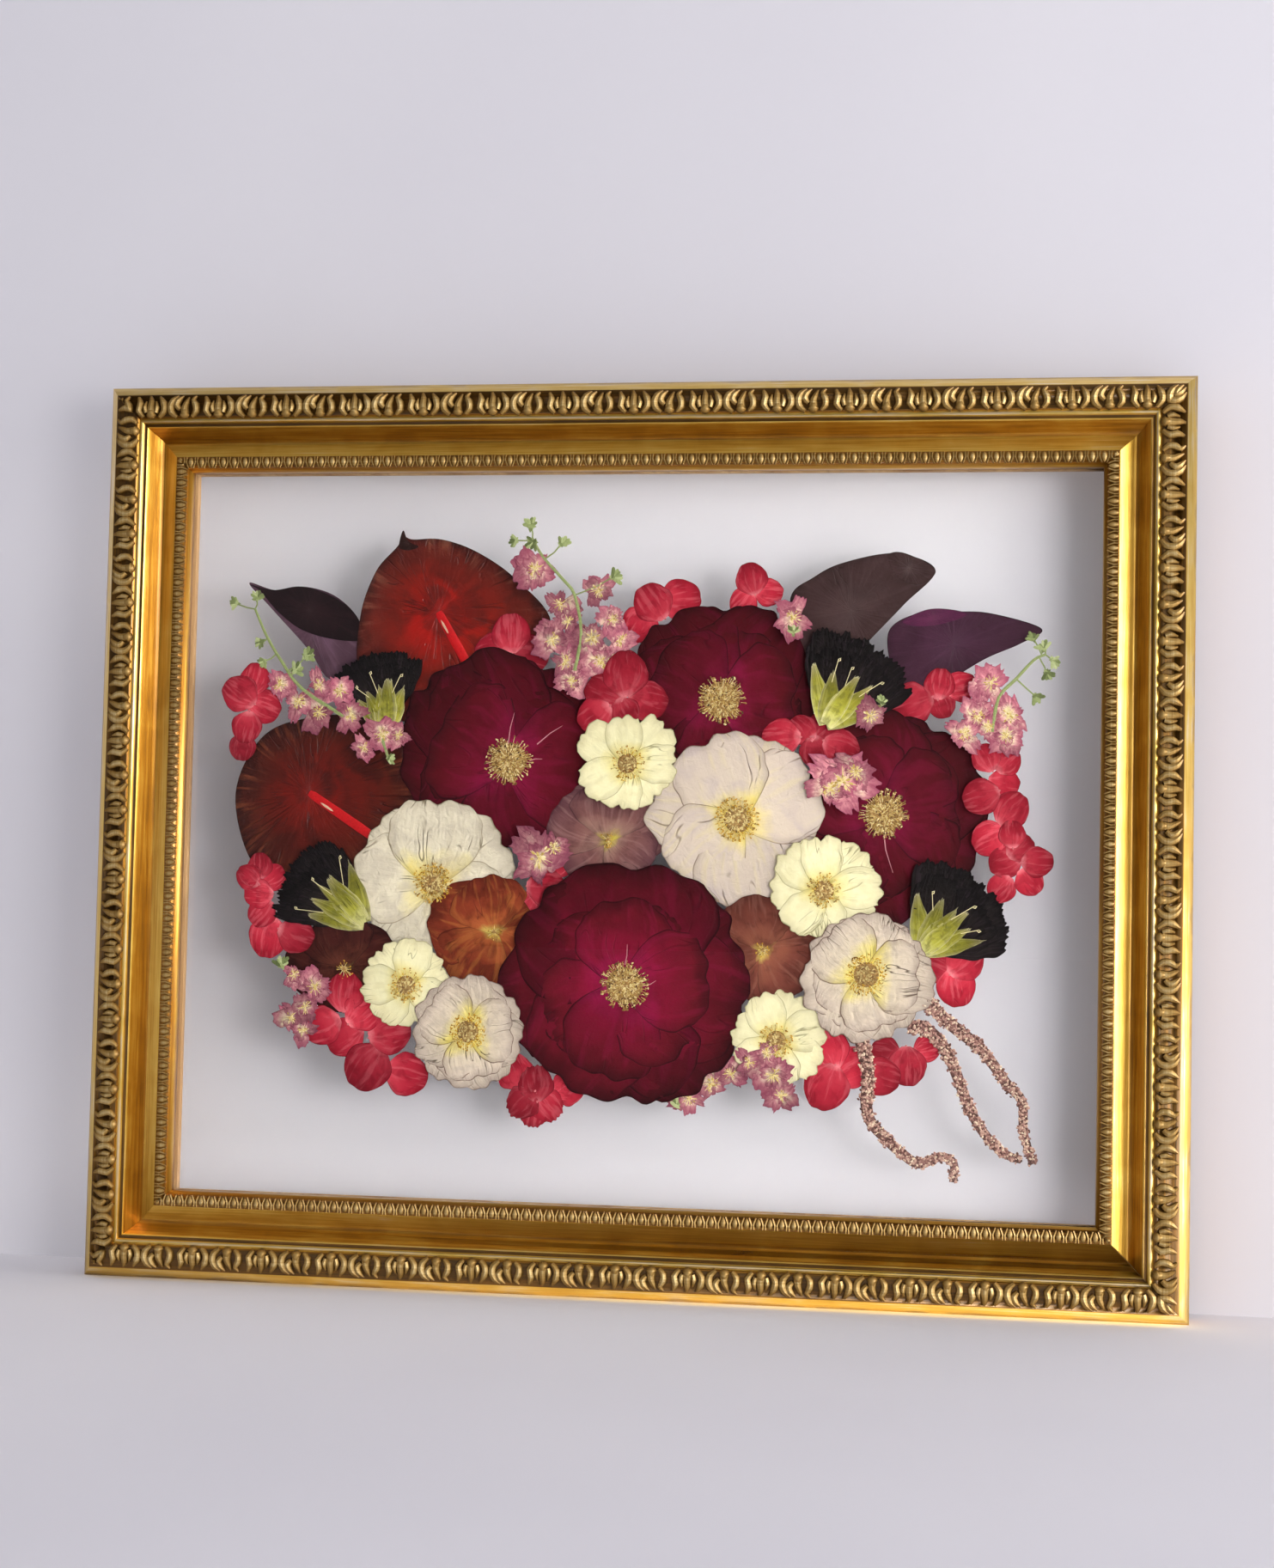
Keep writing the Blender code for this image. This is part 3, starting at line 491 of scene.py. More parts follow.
def rod(points: Sequence[Place], radii: Sequence[float], sides: int = 6, flat: float = 1.0) -> Mould:
    """A rod through points in a plane, extruded stretch by stretch from a small disc.

    Args:
        points: its middle line, in mm.
        radii: its radius at each point.
        sides: how many sides it has.
        flat: its thickness as a share of its width.

    Returns:
        The rod's mould.
    """
    steps = [(b[0] - a[0], b[1] - a[1]) for a, b in zip(points, points[1:])]
    ways = [math.degrees(math.atan2(dy, dx)) for dx, dy in steps]
    bpy.ops.mesh.primitive_circle_add(vertices=sides, radius=radii[0], fill_type="NGON",
                                      location=(*points[0], 0), rotation=(0, math.pi / 2, math.radians(ways[0])))
    made = bpy.context.object
    Bench.edit(made)
    for k, (dx, dy) in enumerate(steps):
        spot = (*points[k + 1], 0)
        bpy.ops.mesh.extrude_region_move(TRANSFORM_OT_translate={"value": (dx, dy, 0)})
        bend = (ways[min(k + 1, len(ways) - 1)] - ways[k] + 180) % 360 - 180
        Bench.turn(bend / 2 + (last_bend(ways, k) / 2), spot)
        share = radii[k + 1] / radii[k]
        bpy.ops.transform.resize(value=(share, share, share), center_override=spot)
    bpy.ops.mesh.select_all(action="SELECT")
    bpy.ops.transform.resize(value=(1, 1, flat), center_override=(0, 0, 0))
    bpy.ops.mesh.normals_make_consistent(inside=False)
    Bench.close()
    Bench.settle(made)
    return Mould.of(made)


def last_bend(ways: Sequence[float], k: int) -> float:
    """How far a line turned, in degrees, at the start of its stretch k."""
    return (ways[k] - ways[max(k - 1, 0)] + 180) % 360 - 180


# ======== finishes ========
def paint(code: str) -> tuple[float, float, float, float]:
    """A colour for a shader socket, from its sRGB hex code."""
    parts = [int(code[k:k + 2], 16) / 255 for k in (0, 2, 4)]
    return (*[((c + 0.055) / 1.055) ** 2.4 if c > 0.04045 else c / 12.92 for c in parts], 1.0)


class Palette:
    """The node tree of one finish, written as sums of sockets."""

    def __init__(self, name: str) -> None:
        """Start a finish.

        Args:
            name: the material's name.
        """
        self.material = bpy.data.materials.new(name)
        self.material.use_nodes = True
        self.nodes = self.material.node_tree.nodes
        self.shader = self.nodes["Principled BSDF"]
        self.mirrored = self.node("ShaderNodeLightPath").outputs["Is Glossy Ray"]
        self.place = self.node("ShaderNodeTexCoord").outputs["Object"]
        self.uv = self.node("ShaderNodeUVMap", uv_map="UVMap").outputs["UV"]
        self.tone = self.node("ShaderNodeAttribute", attribute_name="tone").outputs["Fac"]

    def node(self, kind: str, **settings: object) -> bpy.types.Node:
        """Add a node with its settings."""
        made = self.nodes.new(kind)
        for name, value in settings.items():
            setattr(made, name, value)
        return made

    def feed(self, socket: bpy.types.NodeSocket, value: object) -> None:
        """Link a socket to another, or set its value."""
        if isinstance(value, bpy.types.NodeSocket):
            self.material.node_tree.links.new(value, socket)
        else:
            socket.default_value = value

    def sum(self, way: str, *values: object) -> bpy.types.NodeSocket:
        """A number worked out from others by a Math node."""
        made = self.node("ShaderNodeMath", operation=way)
        for socket, value in zip(made.inputs, values):
            self.feed(socket, value)
        return made.outputs[0]

    def step(self, value: bpy.types.NodeSocket, low: float, high: float) -> bpy.types.NodeSocket:
        """A soft step: 0 where the value is at low, and 1 where it is at high."""
        made = self.node("ShaderNodeMapRange", interpolation_type="SMOOTHSTEP")
        for name, part in (("Value", value), ("From Min", low), ("From Max", high)):
            self.feed(made.inputs[name], part)
        return made.outputs["Result"]

    def blend(self, share: object, first: object, second: object, way: str = "MIX") -> bpy.types.NodeSocket:
        """Two colours blended by a share."""
        made = self.node("ShaderNodeMix", data_type="RGBA", blend_type=way)
        for socket, value in zip((made.inputs[0], made.inputs[6], made.inputs[7]), (share, first, second)):
            self.feed(socket, value)
        return made.outputs[2]

    def ramp(self, share: bpy.types.NodeSocket, stops: Sequence[tuple[float, str]]) -> bpy.types.NodeSocket:
        """A colour read from a row of stops."""
        made = self.node("ShaderNodeValToRGB")
        bar = made.color_ramp.elements
        while len(bar) < len(stops):
            bar.new(0.5)
        for stop, (spot, code) in zip(bar, stops):
            stop.position, stop.color = spot, paint(code)
        self.feed(made.inputs[0], share)
        return made.outputs[0]

    def vector(self, x: object, y: object, z: object = 0.0) -> bpy.types.NodeSocket:
        """A vector of three numbers."""
        made = self.node("ShaderNodeCombineXYZ")
        for socket, value in zip(made.inputs, (x, y, z)):
            self.feed(socket, value)
        return made.outputs[0]

    def split(self, vector: bpy.types.NodeSocket) -> list[bpy.types.NodeSocket]:
        """The three numbers of a vector."""
        made = self.node("ShaderNodeSeparateXYZ")
        self.feed(made.inputs[0], vector)
        return list(made.outputs)

    def noise(self, vector: bpy.types.NodeSocket, scale: float, detail: float = 3.0,
              twist: float = 0.0) -> bpy.types.NodeSocket:
        """Soft noise from 0 to 1.

        Args:
            vector: where it is read.
            scale: how many bumps to the unit.
            detail: how many finer layers it has.
            twist: how much it is distorted.

        Returns:
            The noise.
        """
        made = self.node("ShaderNodeTexNoise")
        for name, value in (("Vector", vector), ("Scale", scale), ("Detail", detail), ("Distortion", twist)):
            self.feed(made.inputs[name], value)
        return made.outputs["Fac"]

    def line(self, noise: bpy.types.NodeSocket, width: float) -> bpy.types.NodeSocket:
        """Thin lines, 1 along the middle level of a noise and 0 away from it."""
        away = self.sum("ABSOLUTE", self.sum("SUBTRACT", noise, 0.5))
        return self.sum("SUBTRACT", 1.0, self.step(away, 0.0, width))

    def relief(self, height: bpy.types.NodeSocket, depth: float) -> None:
        """Raise the surface by a height from 0 to 1, as deep as said in mm."""
        bump = self.node("ShaderNodeBump")
        bump.inputs["Distance"].default_value = depth * MM
        self.feed(bump.inputs["Height"], height)
        self.feed(self.shader.inputs["Normal"], bump.outputs[0])

    def surface(self, **sockets: object) -> bpy.types.Material:
        """Set the shader's sockets, their names written with _ for each space, and give the material."""
        for name, value in sockets.items():
            self.feed(self.shader.inputs[name.replace("_", " ")], value)
        return self.material


@dataclass(frozen=True)
class PetalFinish:
    """A pressed petal or leaf: its colour from base to tip, blotches, veins, creases, and a dark rim that is partly
    browned edge and partly painted shade.
    """

    name: str
    body: tuple[tuple[float, str], ...]
    blotch: tuple[str, float, float]  # colour, share, size in mm
    vein: tuple[str, float, float]  # colour, share, how many across
    crease: tuple[str, float, float]  # colour, share, how many across
    # The rim is a dark line at the edge, partly the browned edge and partly painted shade where a petal lies over the
    # next, inside a broad faint band of painted shade.
    rim: tuple[str, float, float]  # colour, share, width as a share of the petal
    variety: float = 0.08  # how much one petal differs from the next
    vein_start: float = 0.0  # how far out the veins begin, as a share of the petal
    roughness: float = 0.62
    shine: float = 0.08
    depth: float = 0.25  # of the relief, mm
    drift: float = 0.35  # how far the colours stray from base to tip
    round: bool = False  # a whole leaf, whose base is its heart and whose tip is all its rim

    def material(self) -> bpy.types.Material:
        """Build the finish as a material."""
        mix = Palette(self.name)
        x, y, _ = mix.split(mix.uv)
        if self.round:
            along = mix.sum("SQRT", mix.sum("ADD", mix.sum("MULTIPLY", x, x), mix.sum("MULTIPLY", y, y)))
            edge = mix.sum("SUBTRACT", 1.0, along)
            fan = [mix.sum("DIVIDE", part, along) for part in (x, y)]
        else:
            along = x
            side = mix.sum("MINIMUM", y, mix.sum("SUBTRACT", 1.0, y))
            edge = mix.sum("MINIMUM", mix.sum("SUBTRACT", 1.0, x), mix.sum("MULTIPLY", side, 1.3))
            fan = [y, mix.sum("MULTIPLY", mix.tone, 7.0)]

        def rays(count: float, length: float) -> bpy.types.NodeSocket:
            """Where a noise that runs along the petal is read."""
            return mix.vector(mix.sum("MULTIPLY", fan[0], count), mix.sum("MULTIPLY", fan[1], count),
                              mix.sum("MULTIPLY", along, length))

        def over(under: bpy.types.NodeSocket, share: object, layer: tuple[str, float, float],
                 strength: float = 1.0) -> bpy.types.NodeSocket:
            """A colour laid over another as much as a share and the layer's own share say."""
            return mix.blend(mix.sum("MULTIPLY", share, layer[1] * strength), under, paint(layer[0]))

        drift = mix.noise(mix.place, 110.0)
        shift = mix.sum("MULTIPLY", mix.sum("SUBTRACT", drift, 0.5), self.drift)
        colour = mix.ramp(mix.sum("ADD", along, shift), self.body)
        colour = over(colour, mix.step(mix.noise(mix.place, 1000 / self.blotch[2], 4.0, 0.6), 0.42, 0.68), self.blotch)
        veins = mix.noise(rays(self.vein[2], 1.6), 1.0, 3.0, 0.3)
        begun = mix.step(along, self.vein_start - 0.2, self.vein_start + 0.2)
        colour = over(colour, mix.sum("MULTIPLY", begun, mix.step(veins, 0.5, 0.66)), self.vein)
        lines = mix.line(mix.noise(rays(self.crease[2], 1.0), 1.0, 1.0, 0.5), 0.022)
        fold = mix.sum("MULTIPLY", lines, mix.step(mix.noise(mix.place, 60.0, 2.0), 0.46, 0.62))
        colour = over(colour, fold, self.crease)
        ragged = mix.sum("ADD", edge, mix.sum("MULTIPLY", mix.sum("SUBTRACT", veins, 0.5), 0.04))
        # Painted shade: a broad faint band along the edge, then the dark rim line, partly browned edge and partly
        # painted shade.
        for width, strength in ((7 * self.rim[2], 0.35), (self.rim[2], 1.0)):
            rim_line_and_shade = mix.sum("SUBTRACT", 1.0, mix.step(ragged, 0.0, width))
            colour = over(colour, rim_line_and_shade, self.rim, strength)
        level = mix.sum("ADD", 1.0 - self.variety, mix.sum("MULTIPLY", mix.tone, 2 * self.variety))
        colour = mix.blend(1.0, colour, mix.vector(level, level, level), "MULTIPLY")
        grain = mix.noise(mix.place, 700.0, 3.0)
        wrinkle = mix.noise(mix.place, 160.0, 4.0, 1.5)
        height = mix.sum("ADD", mix.sum("MULTIPLY", grain, 0.25), mix.sum("ADD", veins, wrinkle))
        if self.vein_start:
            height = mix.sum("MULTIPLY", height, mix.sum("ADD", 0.35, mix.sum("MULTIPLY", begun, 0.65)))
        mix.relief(mix.sum("SUBTRACT", height, mix.sum("MULTIPLY", fold, 0.6)), self.depth)
        return mix.surface(Base_Color=colour, Roughness=self.roughness, Specular_IOR_Level=self.shine)


@dataclass(frozen=True)
class GrainFinish:
    """Small things of many shades: anthers, threads, buds, stems and seed grains."""

    name: str
    shades: tuple[tuple[float, str], ...]
    mottle: float = 0.3
    roughness: float = 0.7

    def material(self) -> bpy.types.Material:
        """Build the finish as a material."""
        mix = Palette(self.name)
        spots = mix.sum("MULTIPLY", mix.sum("SUBTRACT", mix.noise(mix.place, 900.0, 2.0), 0.5), 2 * self.mottle)
        mix.relief(mix.noise(mix.place, 2500.0, 2.0), 0.15)
        return mix.surface(Base_Color=mix.ramp(mix.sum("ADD", mix.tone, spots), self.shades),
                           Roughness=self.roughness, Specular_IOR_Level=0.3)


@dataclass(frozen=True)
class Gilding:
    """Gold leaf over carved wood, reddish where rubbed at the edges; its tone sets how bright it is, brown in the
    hollows, partly toning and partly painted shade, and pale on the ridges as painted highlight.
    """

    name: str = "aged_gilding"
    shades: tuple[tuple[float, str], ...] = (
        (0.0, "34240a"), (0.2, "60430f"), (0.4, "8e6014"), (0.55, "b87e14"), (0.75, "dcb044"), (0.88, "ecc860"),
        (1.0, "f2dcb0"))
    worn: str = "7a3a18"
    metal: float = 0.8
    roughness: float = 0.54  # where it is darkest
    gloss: float = 0.35  # of the varnish over it

    def material(self) -> bpy.types.Material:
        """Build the finish as a material."""
        mix = Palette(self.name)
        out, run, _ = mix.split(mix.uv)
        streaks = mix.noise(mix.vector(mix.sum("MULTIPLY", out, 55.0), mix.sum("MULTIPLY", run, 2.5)), 1.0, 5.0, 0.3)
        clouds = mix.noise(mix.place, 45.0, 4.0, 0.5)
        # The tone brings the painted shade of the hollows and the painted highlight of the ridges into the colour.
        level = mix.sum("ADD", mix.tone, mix.sum("MULTIPLY", mix.sum("SUBTRACT", streaks, 0.5), 0.5))
        level = mix.sum("ADD", level, mix.sum("MULTIPLY", mix.sum("SUBTRACT", clouds, 0.5), 0.3))
        colour = mix.ramp(level, self.shades)
        lip = mix.sum("SUBTRACT", 1.0, mix.step(out, 0.035, 0.06))
        side = mix.step(mix.sum("ADD", out, mix.sum("MULTIPLY", mix.sum("SUBTRACT", clouds, 0.5), 0.12)), 0.97, 1.0)
        rubbed = mix.sum("MULTIPLY", mix.sum("MAXIMUM", lip, side), mix.step(clouds, 0.25, 0.6))
        colour = mix.blend(mix.sum("MULTIPLY", rubbed, 0.4), colour, paint(self.worn))
        rough = mix.sum("SUBTRACT", self.roughness, mix.sum("MULTIPLY", mix.tone, 0.14))
        grain = mix.noise(mix.place, 900.0, 2.0)
        mix.relief(mix.sum("ADD", streaks, mix.sum("MULTIPLY", grain, 0.5)), 0.12)
        return mix.surface(Base_Color=colour, Metallic=self.metal, Roughness=rough, Coat_Weight=self.gloss,
                           Coat_Roughness=0.3, Coat_IOR=1.7)


@dataclass(frozen=True)
class RawWood:
    """Bare softwood, where the gilding stops at the back."""

    name: str = "raw_wood"

    def material(self) -> bpy.types.Material:
        """Build the finish as a material."""
        mix = Palette(self.name)
        out, run, _ = mix.split(mix.uv)
        rings = mix.noise(mix.vector(mix.sum("MULTIPLY", out, 14.0), mix.sum("MULTIPLY", run, 0.8)), 1.0, 5.0, 1.5)
        fibres = mix.noise(mix.vector(mix.sum("MULTIPLY", out, 150.0), mix.sum("MULTIPLY", run, 6.0)), 1.0, 3.0)
        colour = mix.ramp(rings, ((0.25, "7a5230"), (0.5, "b08a5c"), (0.75, "c8a878")))
        colour = mix.blend(mix.sum("MULTIPLY", mix.step(fibres, 0.5, 0.7), 0.35), colour, paint("5c3c20"))
        mix.relief(mix.sum("ADD", rings, fibres), 0.15)
        return mix.surface(Base_Color=colour, Roughness=0.75)


@dataclass(frozen=True)
class ClearGlass:
    """Thin float glass."""

    name: str = "clear_glass"

    def material(self) -> bpy.types.Material:
        """Build the finish as a material."""
        return Palette(self.name).surface(Base_Color=(0.99, 0.992, 1.0, 1), Transmission_Weight=1.0,
                                          Roughness=0.0, IOR=1.5)


@cache
def coat(finish: PetalFinish | GrainFinish | Gilding | RawWood | ClearGlass) -> bpy.types.Material:
    """The material of a finish, built when it is first asked for."""
    return finish.material()


CARVING = Gilding("carved_gilding", ((0.0, "30200a"), (0.3, "644612"), (0.6, "8c6826"), (0.85, "a8884a"),
                                     (1.0, "c4ac76")), metal=0.5, roughness=0.66, gloss=0.12)
ROSE_FINISH = PetalFinish(
    "rose_petal", ((0.0, "a82456"), (0.13, "741034"), (0.4, "5a0c1e"), (0.8, "4c0a14"), (1.0, "3c0a10")),
    ("420810", 0.4, 18.0), ("7a1038", 0.2, 9.0), ("22050a", 0.3, 5.0), ("20050a", 0.85, 0.03), variety=0.3)
CRIMSON_FINISH = PetalFinish(
    "crimson_rose_petal", ((0.0, "b02c60"), (0.13, "8a1442"), (0.4, "740e2a"), (0.8, "5c0e1c"), (1.0, "420a12")),
    ("4a0a14", 0.4, 18.0), ("8c1440", 0.2, 9.0), ("28060c", 0.3, 5.0), ("26060c", 0.85, 0.03), variety=0.34)
BLUSH_FINISH = PetalFinish(
    "blush_petal", ((0.0, "ecd03c"), (0.16, "ecdc90"), (0.36, "d8cab8"), (1.0, "cec0b4")),
    ("b8aab0", 0.4, 14.0), ("e4d890", 0.25, 14.0), ("6e5846", 0.7, 4.0), ("6a5442", 0.75, 0.018), depth=0.4)
IVORY_FINISH = PetalFinish(
    "ivory_petal", ((0.0, "ecd038"), (0.2, "ece0a0"), (0.42, "e0d8c0"), (1.0, "dad2bc")),
    ("b4aa9c", 0.45, 12.0), ("c0b49a", 0.2, 14.0), ("5e4e34", 0.7, 5.0), ("74644a", 0.7, 0.022), depth=0.6)
CRINKLED_FINISH = PetalFinish(
    "crinkled_petal", ((0.0, "e6cc38"), (0.26, "e6d880"), (0.5, "d6c9b2"), (1.0, "cfc1b2")),
    ("a89c92", 0.35, 6.0), ("b4a494", 0.2, 16.0), ("4c3a2c", 0.8, 8.0), ("5e4238", 0.85, 0.028), depth=0.55)
CREAM_FINISH = PetalFinish(
    "cream_petal", ((0.0, "dcc43c"), (0.22, "e8dc90"), (0.5, "eeeac0"), (1.0, "ebe5bc")),
    ("d8d09c", 0.3, 6.0), ("c0ba8c", 0.2, 7.0), ("767044", 0.65, 5.0), ("80784c", 0.65, 0.03), depth=0.25)
MAUVE_FINISH = PetalFinish(
    "mauve_petal", ((0.0, "c8b850"), (0.15, "9c7a6c"), (0.4, "805652"), (1.0, "674248")),
    ("583438", 0.5, 9.0), ("b49088", 0.2, 18.0), ("3e2428", 0.6, 7.0), ("42262c", 0.75, 0.03))
COPPER_FINISH = PetalFinish(
    "copper_petal", ((0.0, "c8b860"), (0.15, "a45830"), (0.5, "803620"), (1.0, "662618")),
    ("46180e", 0.6, 9.0), ("c07c3c", 0.24, 14.0), ("3c140c", 0.5, 6.0), ("44180f", 0.7, 0.03), variety=0.2)
RUSSET_FINISH = PetalFinish(
    "russet_petal", ((0.0, "d4bc60"), (0.14, "8c5440"), (0.5, "743e32"), (1.0, "5e2e26")),
    ("4c241e", 0.5, 9.0), ("946454", 0.3, 14.0), ("40201a", 0.5, 6.0), ("40201a", 0.7, 0.03), variety=0.15)
BROWN_FINISH = PetalFinish(
    "brown_petal", ((0.0, "b09858"), (0.12, "5c3024"), (0.5, "441c18"), (1.0, "361412")),
    ("220e0c", 0.6, 9.0), ("5c3026", 0.3, 16.0), ("1c0a0a", 0.5, 6.0), ("1c0c0c", 0.75, 0.04), variety=0.15)
HYDRANGEA_FINISH = PetalFinish(
    "hydrangea_petal", ((0.0, "e48088"), (0.16, "c03a4a"), (0.55, "a82436"), (1.0, "901a2a")),
    ("7a0e1e", 0.5, 7.0), ("dc6c78", 0.3, 9.0), ("7c1020", 0.3, 4.0), ("640c1a", 0.8, 0.03), variety=0.36)
STOCK_FINISH = PetalFinish(
    "stock_petal", ((0.0, "ece4b0"), (0.3, "e2c0b0"), (0.55, "c4868c"), (1.0, "a45e6e")),
    ("904860", 0.55, 2.5), ("8a3852", 0.45, 7.0), ("702840", 0.85, 6.0), ("843c58", 0.7, 0.04), variety=0.45,
    depth=0.6, drift=1.4)
CARNATION_FINISH = PetalFinish(
    "carnation_petal", ((0.0, "3c3420"), (0.3, "201819"), (0.7, "201a19"), (1.0, "120e0f")),
    ("0e0b0c", 0.5, 6.0), ("3a2c36", 0.3, 20.0), ("080608", 0.8, 10.0), ("080608", 0.85, 0.03), variety=0.3,
    depth=0.5)
CALYX_FINISH = PetalFinish(
    "calyx", ((0.0, "d2d08c"), (0.25, "aeac44"), (0.6, "8c8a2c"), (1.0, "6a6224")),
    ("62602a", 0.6, 4.0), ("c4c06c", 0.35, 8.0), ("3e3c1c", 0.8, 6.0), ("d8d0ac", 0.6, 0.04), variety=0.3,
    depth=0.5)
SPATHE_FINISH = PetalFinish(
    "anthurium_spathe", ((0.0, "a8120a"), (0.3, "9c1208"), (0.5, "7a180c"), (0.85, "5e1c12"), (1.0, "38120c")),
    # The pale veins near the rim are partly veins and partly painted highlight on the wrinkles.
    ("50140c", 0.75, 18.0), ("a4644c", 0.36, 9.0), ("4c140c", 0.4, 5.0), ("280a06", 0.9, 0.012),
    vein_start=0.85, roughness=0.38, shine=0.3, depth=0.9, round=True)
DARK_SPATHE_FINISH = PetalFinish(
    "dark_anthurium_spathe", ((0.0, "7c1208"), (0.4, "601208"), (0.75, "4e160a"), (1.0, "2c0e08")),
    # The pale veins near the rim are partly veins and partly painted highlight on the wrinkles.
    ("380e08", 0.75, 18.0), ("8e4a2c", 0.4, 11.0), ("300806", 0.6, 8.0), ("200604", 0.9, 0.015),
    vein_start=0.75, roughness=0.38, shine=0.3, depth=0.9, round=True)


def leaf_finish(name: str, body: str, heart: str, rim: str) -> PetalFinish:
    """A leaf's finish in three shades."""
    return PetalFinish(name, ((0.0, heart), (0.6, body), (1.0, body)), (rim, 0.35, 22.0), (heart, 0.35, 10.0),
                       (rim, 0.4, 4.0), (rim, 0.9, 0.02), roughness=0.45, shine=0.2, round=True)


PLUM_LEAF = leaf_finish("plum_leaf", "3c1c2e", "4a283e", "1c0a14")
DUSKY_LEAF = leaf_finish("dusky_leaf", "3c2828", "4c3838", "1c1010")
NIGHT_LEAF = leaf_finish("night_leaf", "201014", "2c181c", "0c0608")
FADED_LEAF = leaf_finish("faded_leaf", "5c404e", "74566a", "34202a")
MAGENTA_LEAF = leaf_finish("magenta_leaf", "521c3e", "62264a", "2a0e26")
THORN = leaf_finish("thorn", "2a1210", "3a1a14", "140806")
PALE_STREAK = leaf_finish("pale_streak", "e6c8a8", "ecd4b4", "c07860")
ANTHERS = GrainFinish("anthers", ((0.0, "4a2c14"), (0.35, "8a6430"), (0.7, "b48c4c"), (1.0, "e6d49c")))
GOLD_ANTHERS = GrainFinish("gold_anthers", ((0.0, "7a5410"), (0.4, "b88818"), (0.8, "d8ac30"), (1.0, "ecd480")))
TAN_EYE = GrainFinish("tan_eye", ((0.0, "6a4c26"), (0.4, "94703c"), (0.8, "b89458"), (1.0, "d8bc84")), mottle=0.8)
FILAMENTS = GrainFinish("filaments", ((0.0, "a88c40"), (0.5, "d4ba68"), (1.0, "f0e4b0")))
PINK_THREADS = GrainFinish("pink_threads", ((0.0, "b06078"), (0.5, "cc8c94"), (1.0, "e8c0b8")))
EYE_GRAINS = GrainFinish("eye_grains", ((0.0, "6a4826"), (0.5, "a8884e"), (1.0, "e4d494")))
GREENERY = GrainFinish("greenery", ((0.0, "525e30"), (0.5, "8c9a60"), (1.0, "c0ca94")))
SPADIX_FINISH = GrainFinish("spadix", ((0.0, "8a0810"), (0.5, "c00c14"), (0.85, "d42020"), (1.0, "f0c0a0")), roughness=0.4)
AMARANTH_FINISH = GrainFinish("amaranth", ((0.0, "4e322c"), (0.3, "8c625a"), (0.6, "b48c80"), (0.85, "ccac98"), (1.0, "e4d4b8")))
FLORET_EYE = GrainFinish("floret_eye", ((0.0, "7c1828"), (0.5, "c86870"), (1.0, "e8b8a0")))


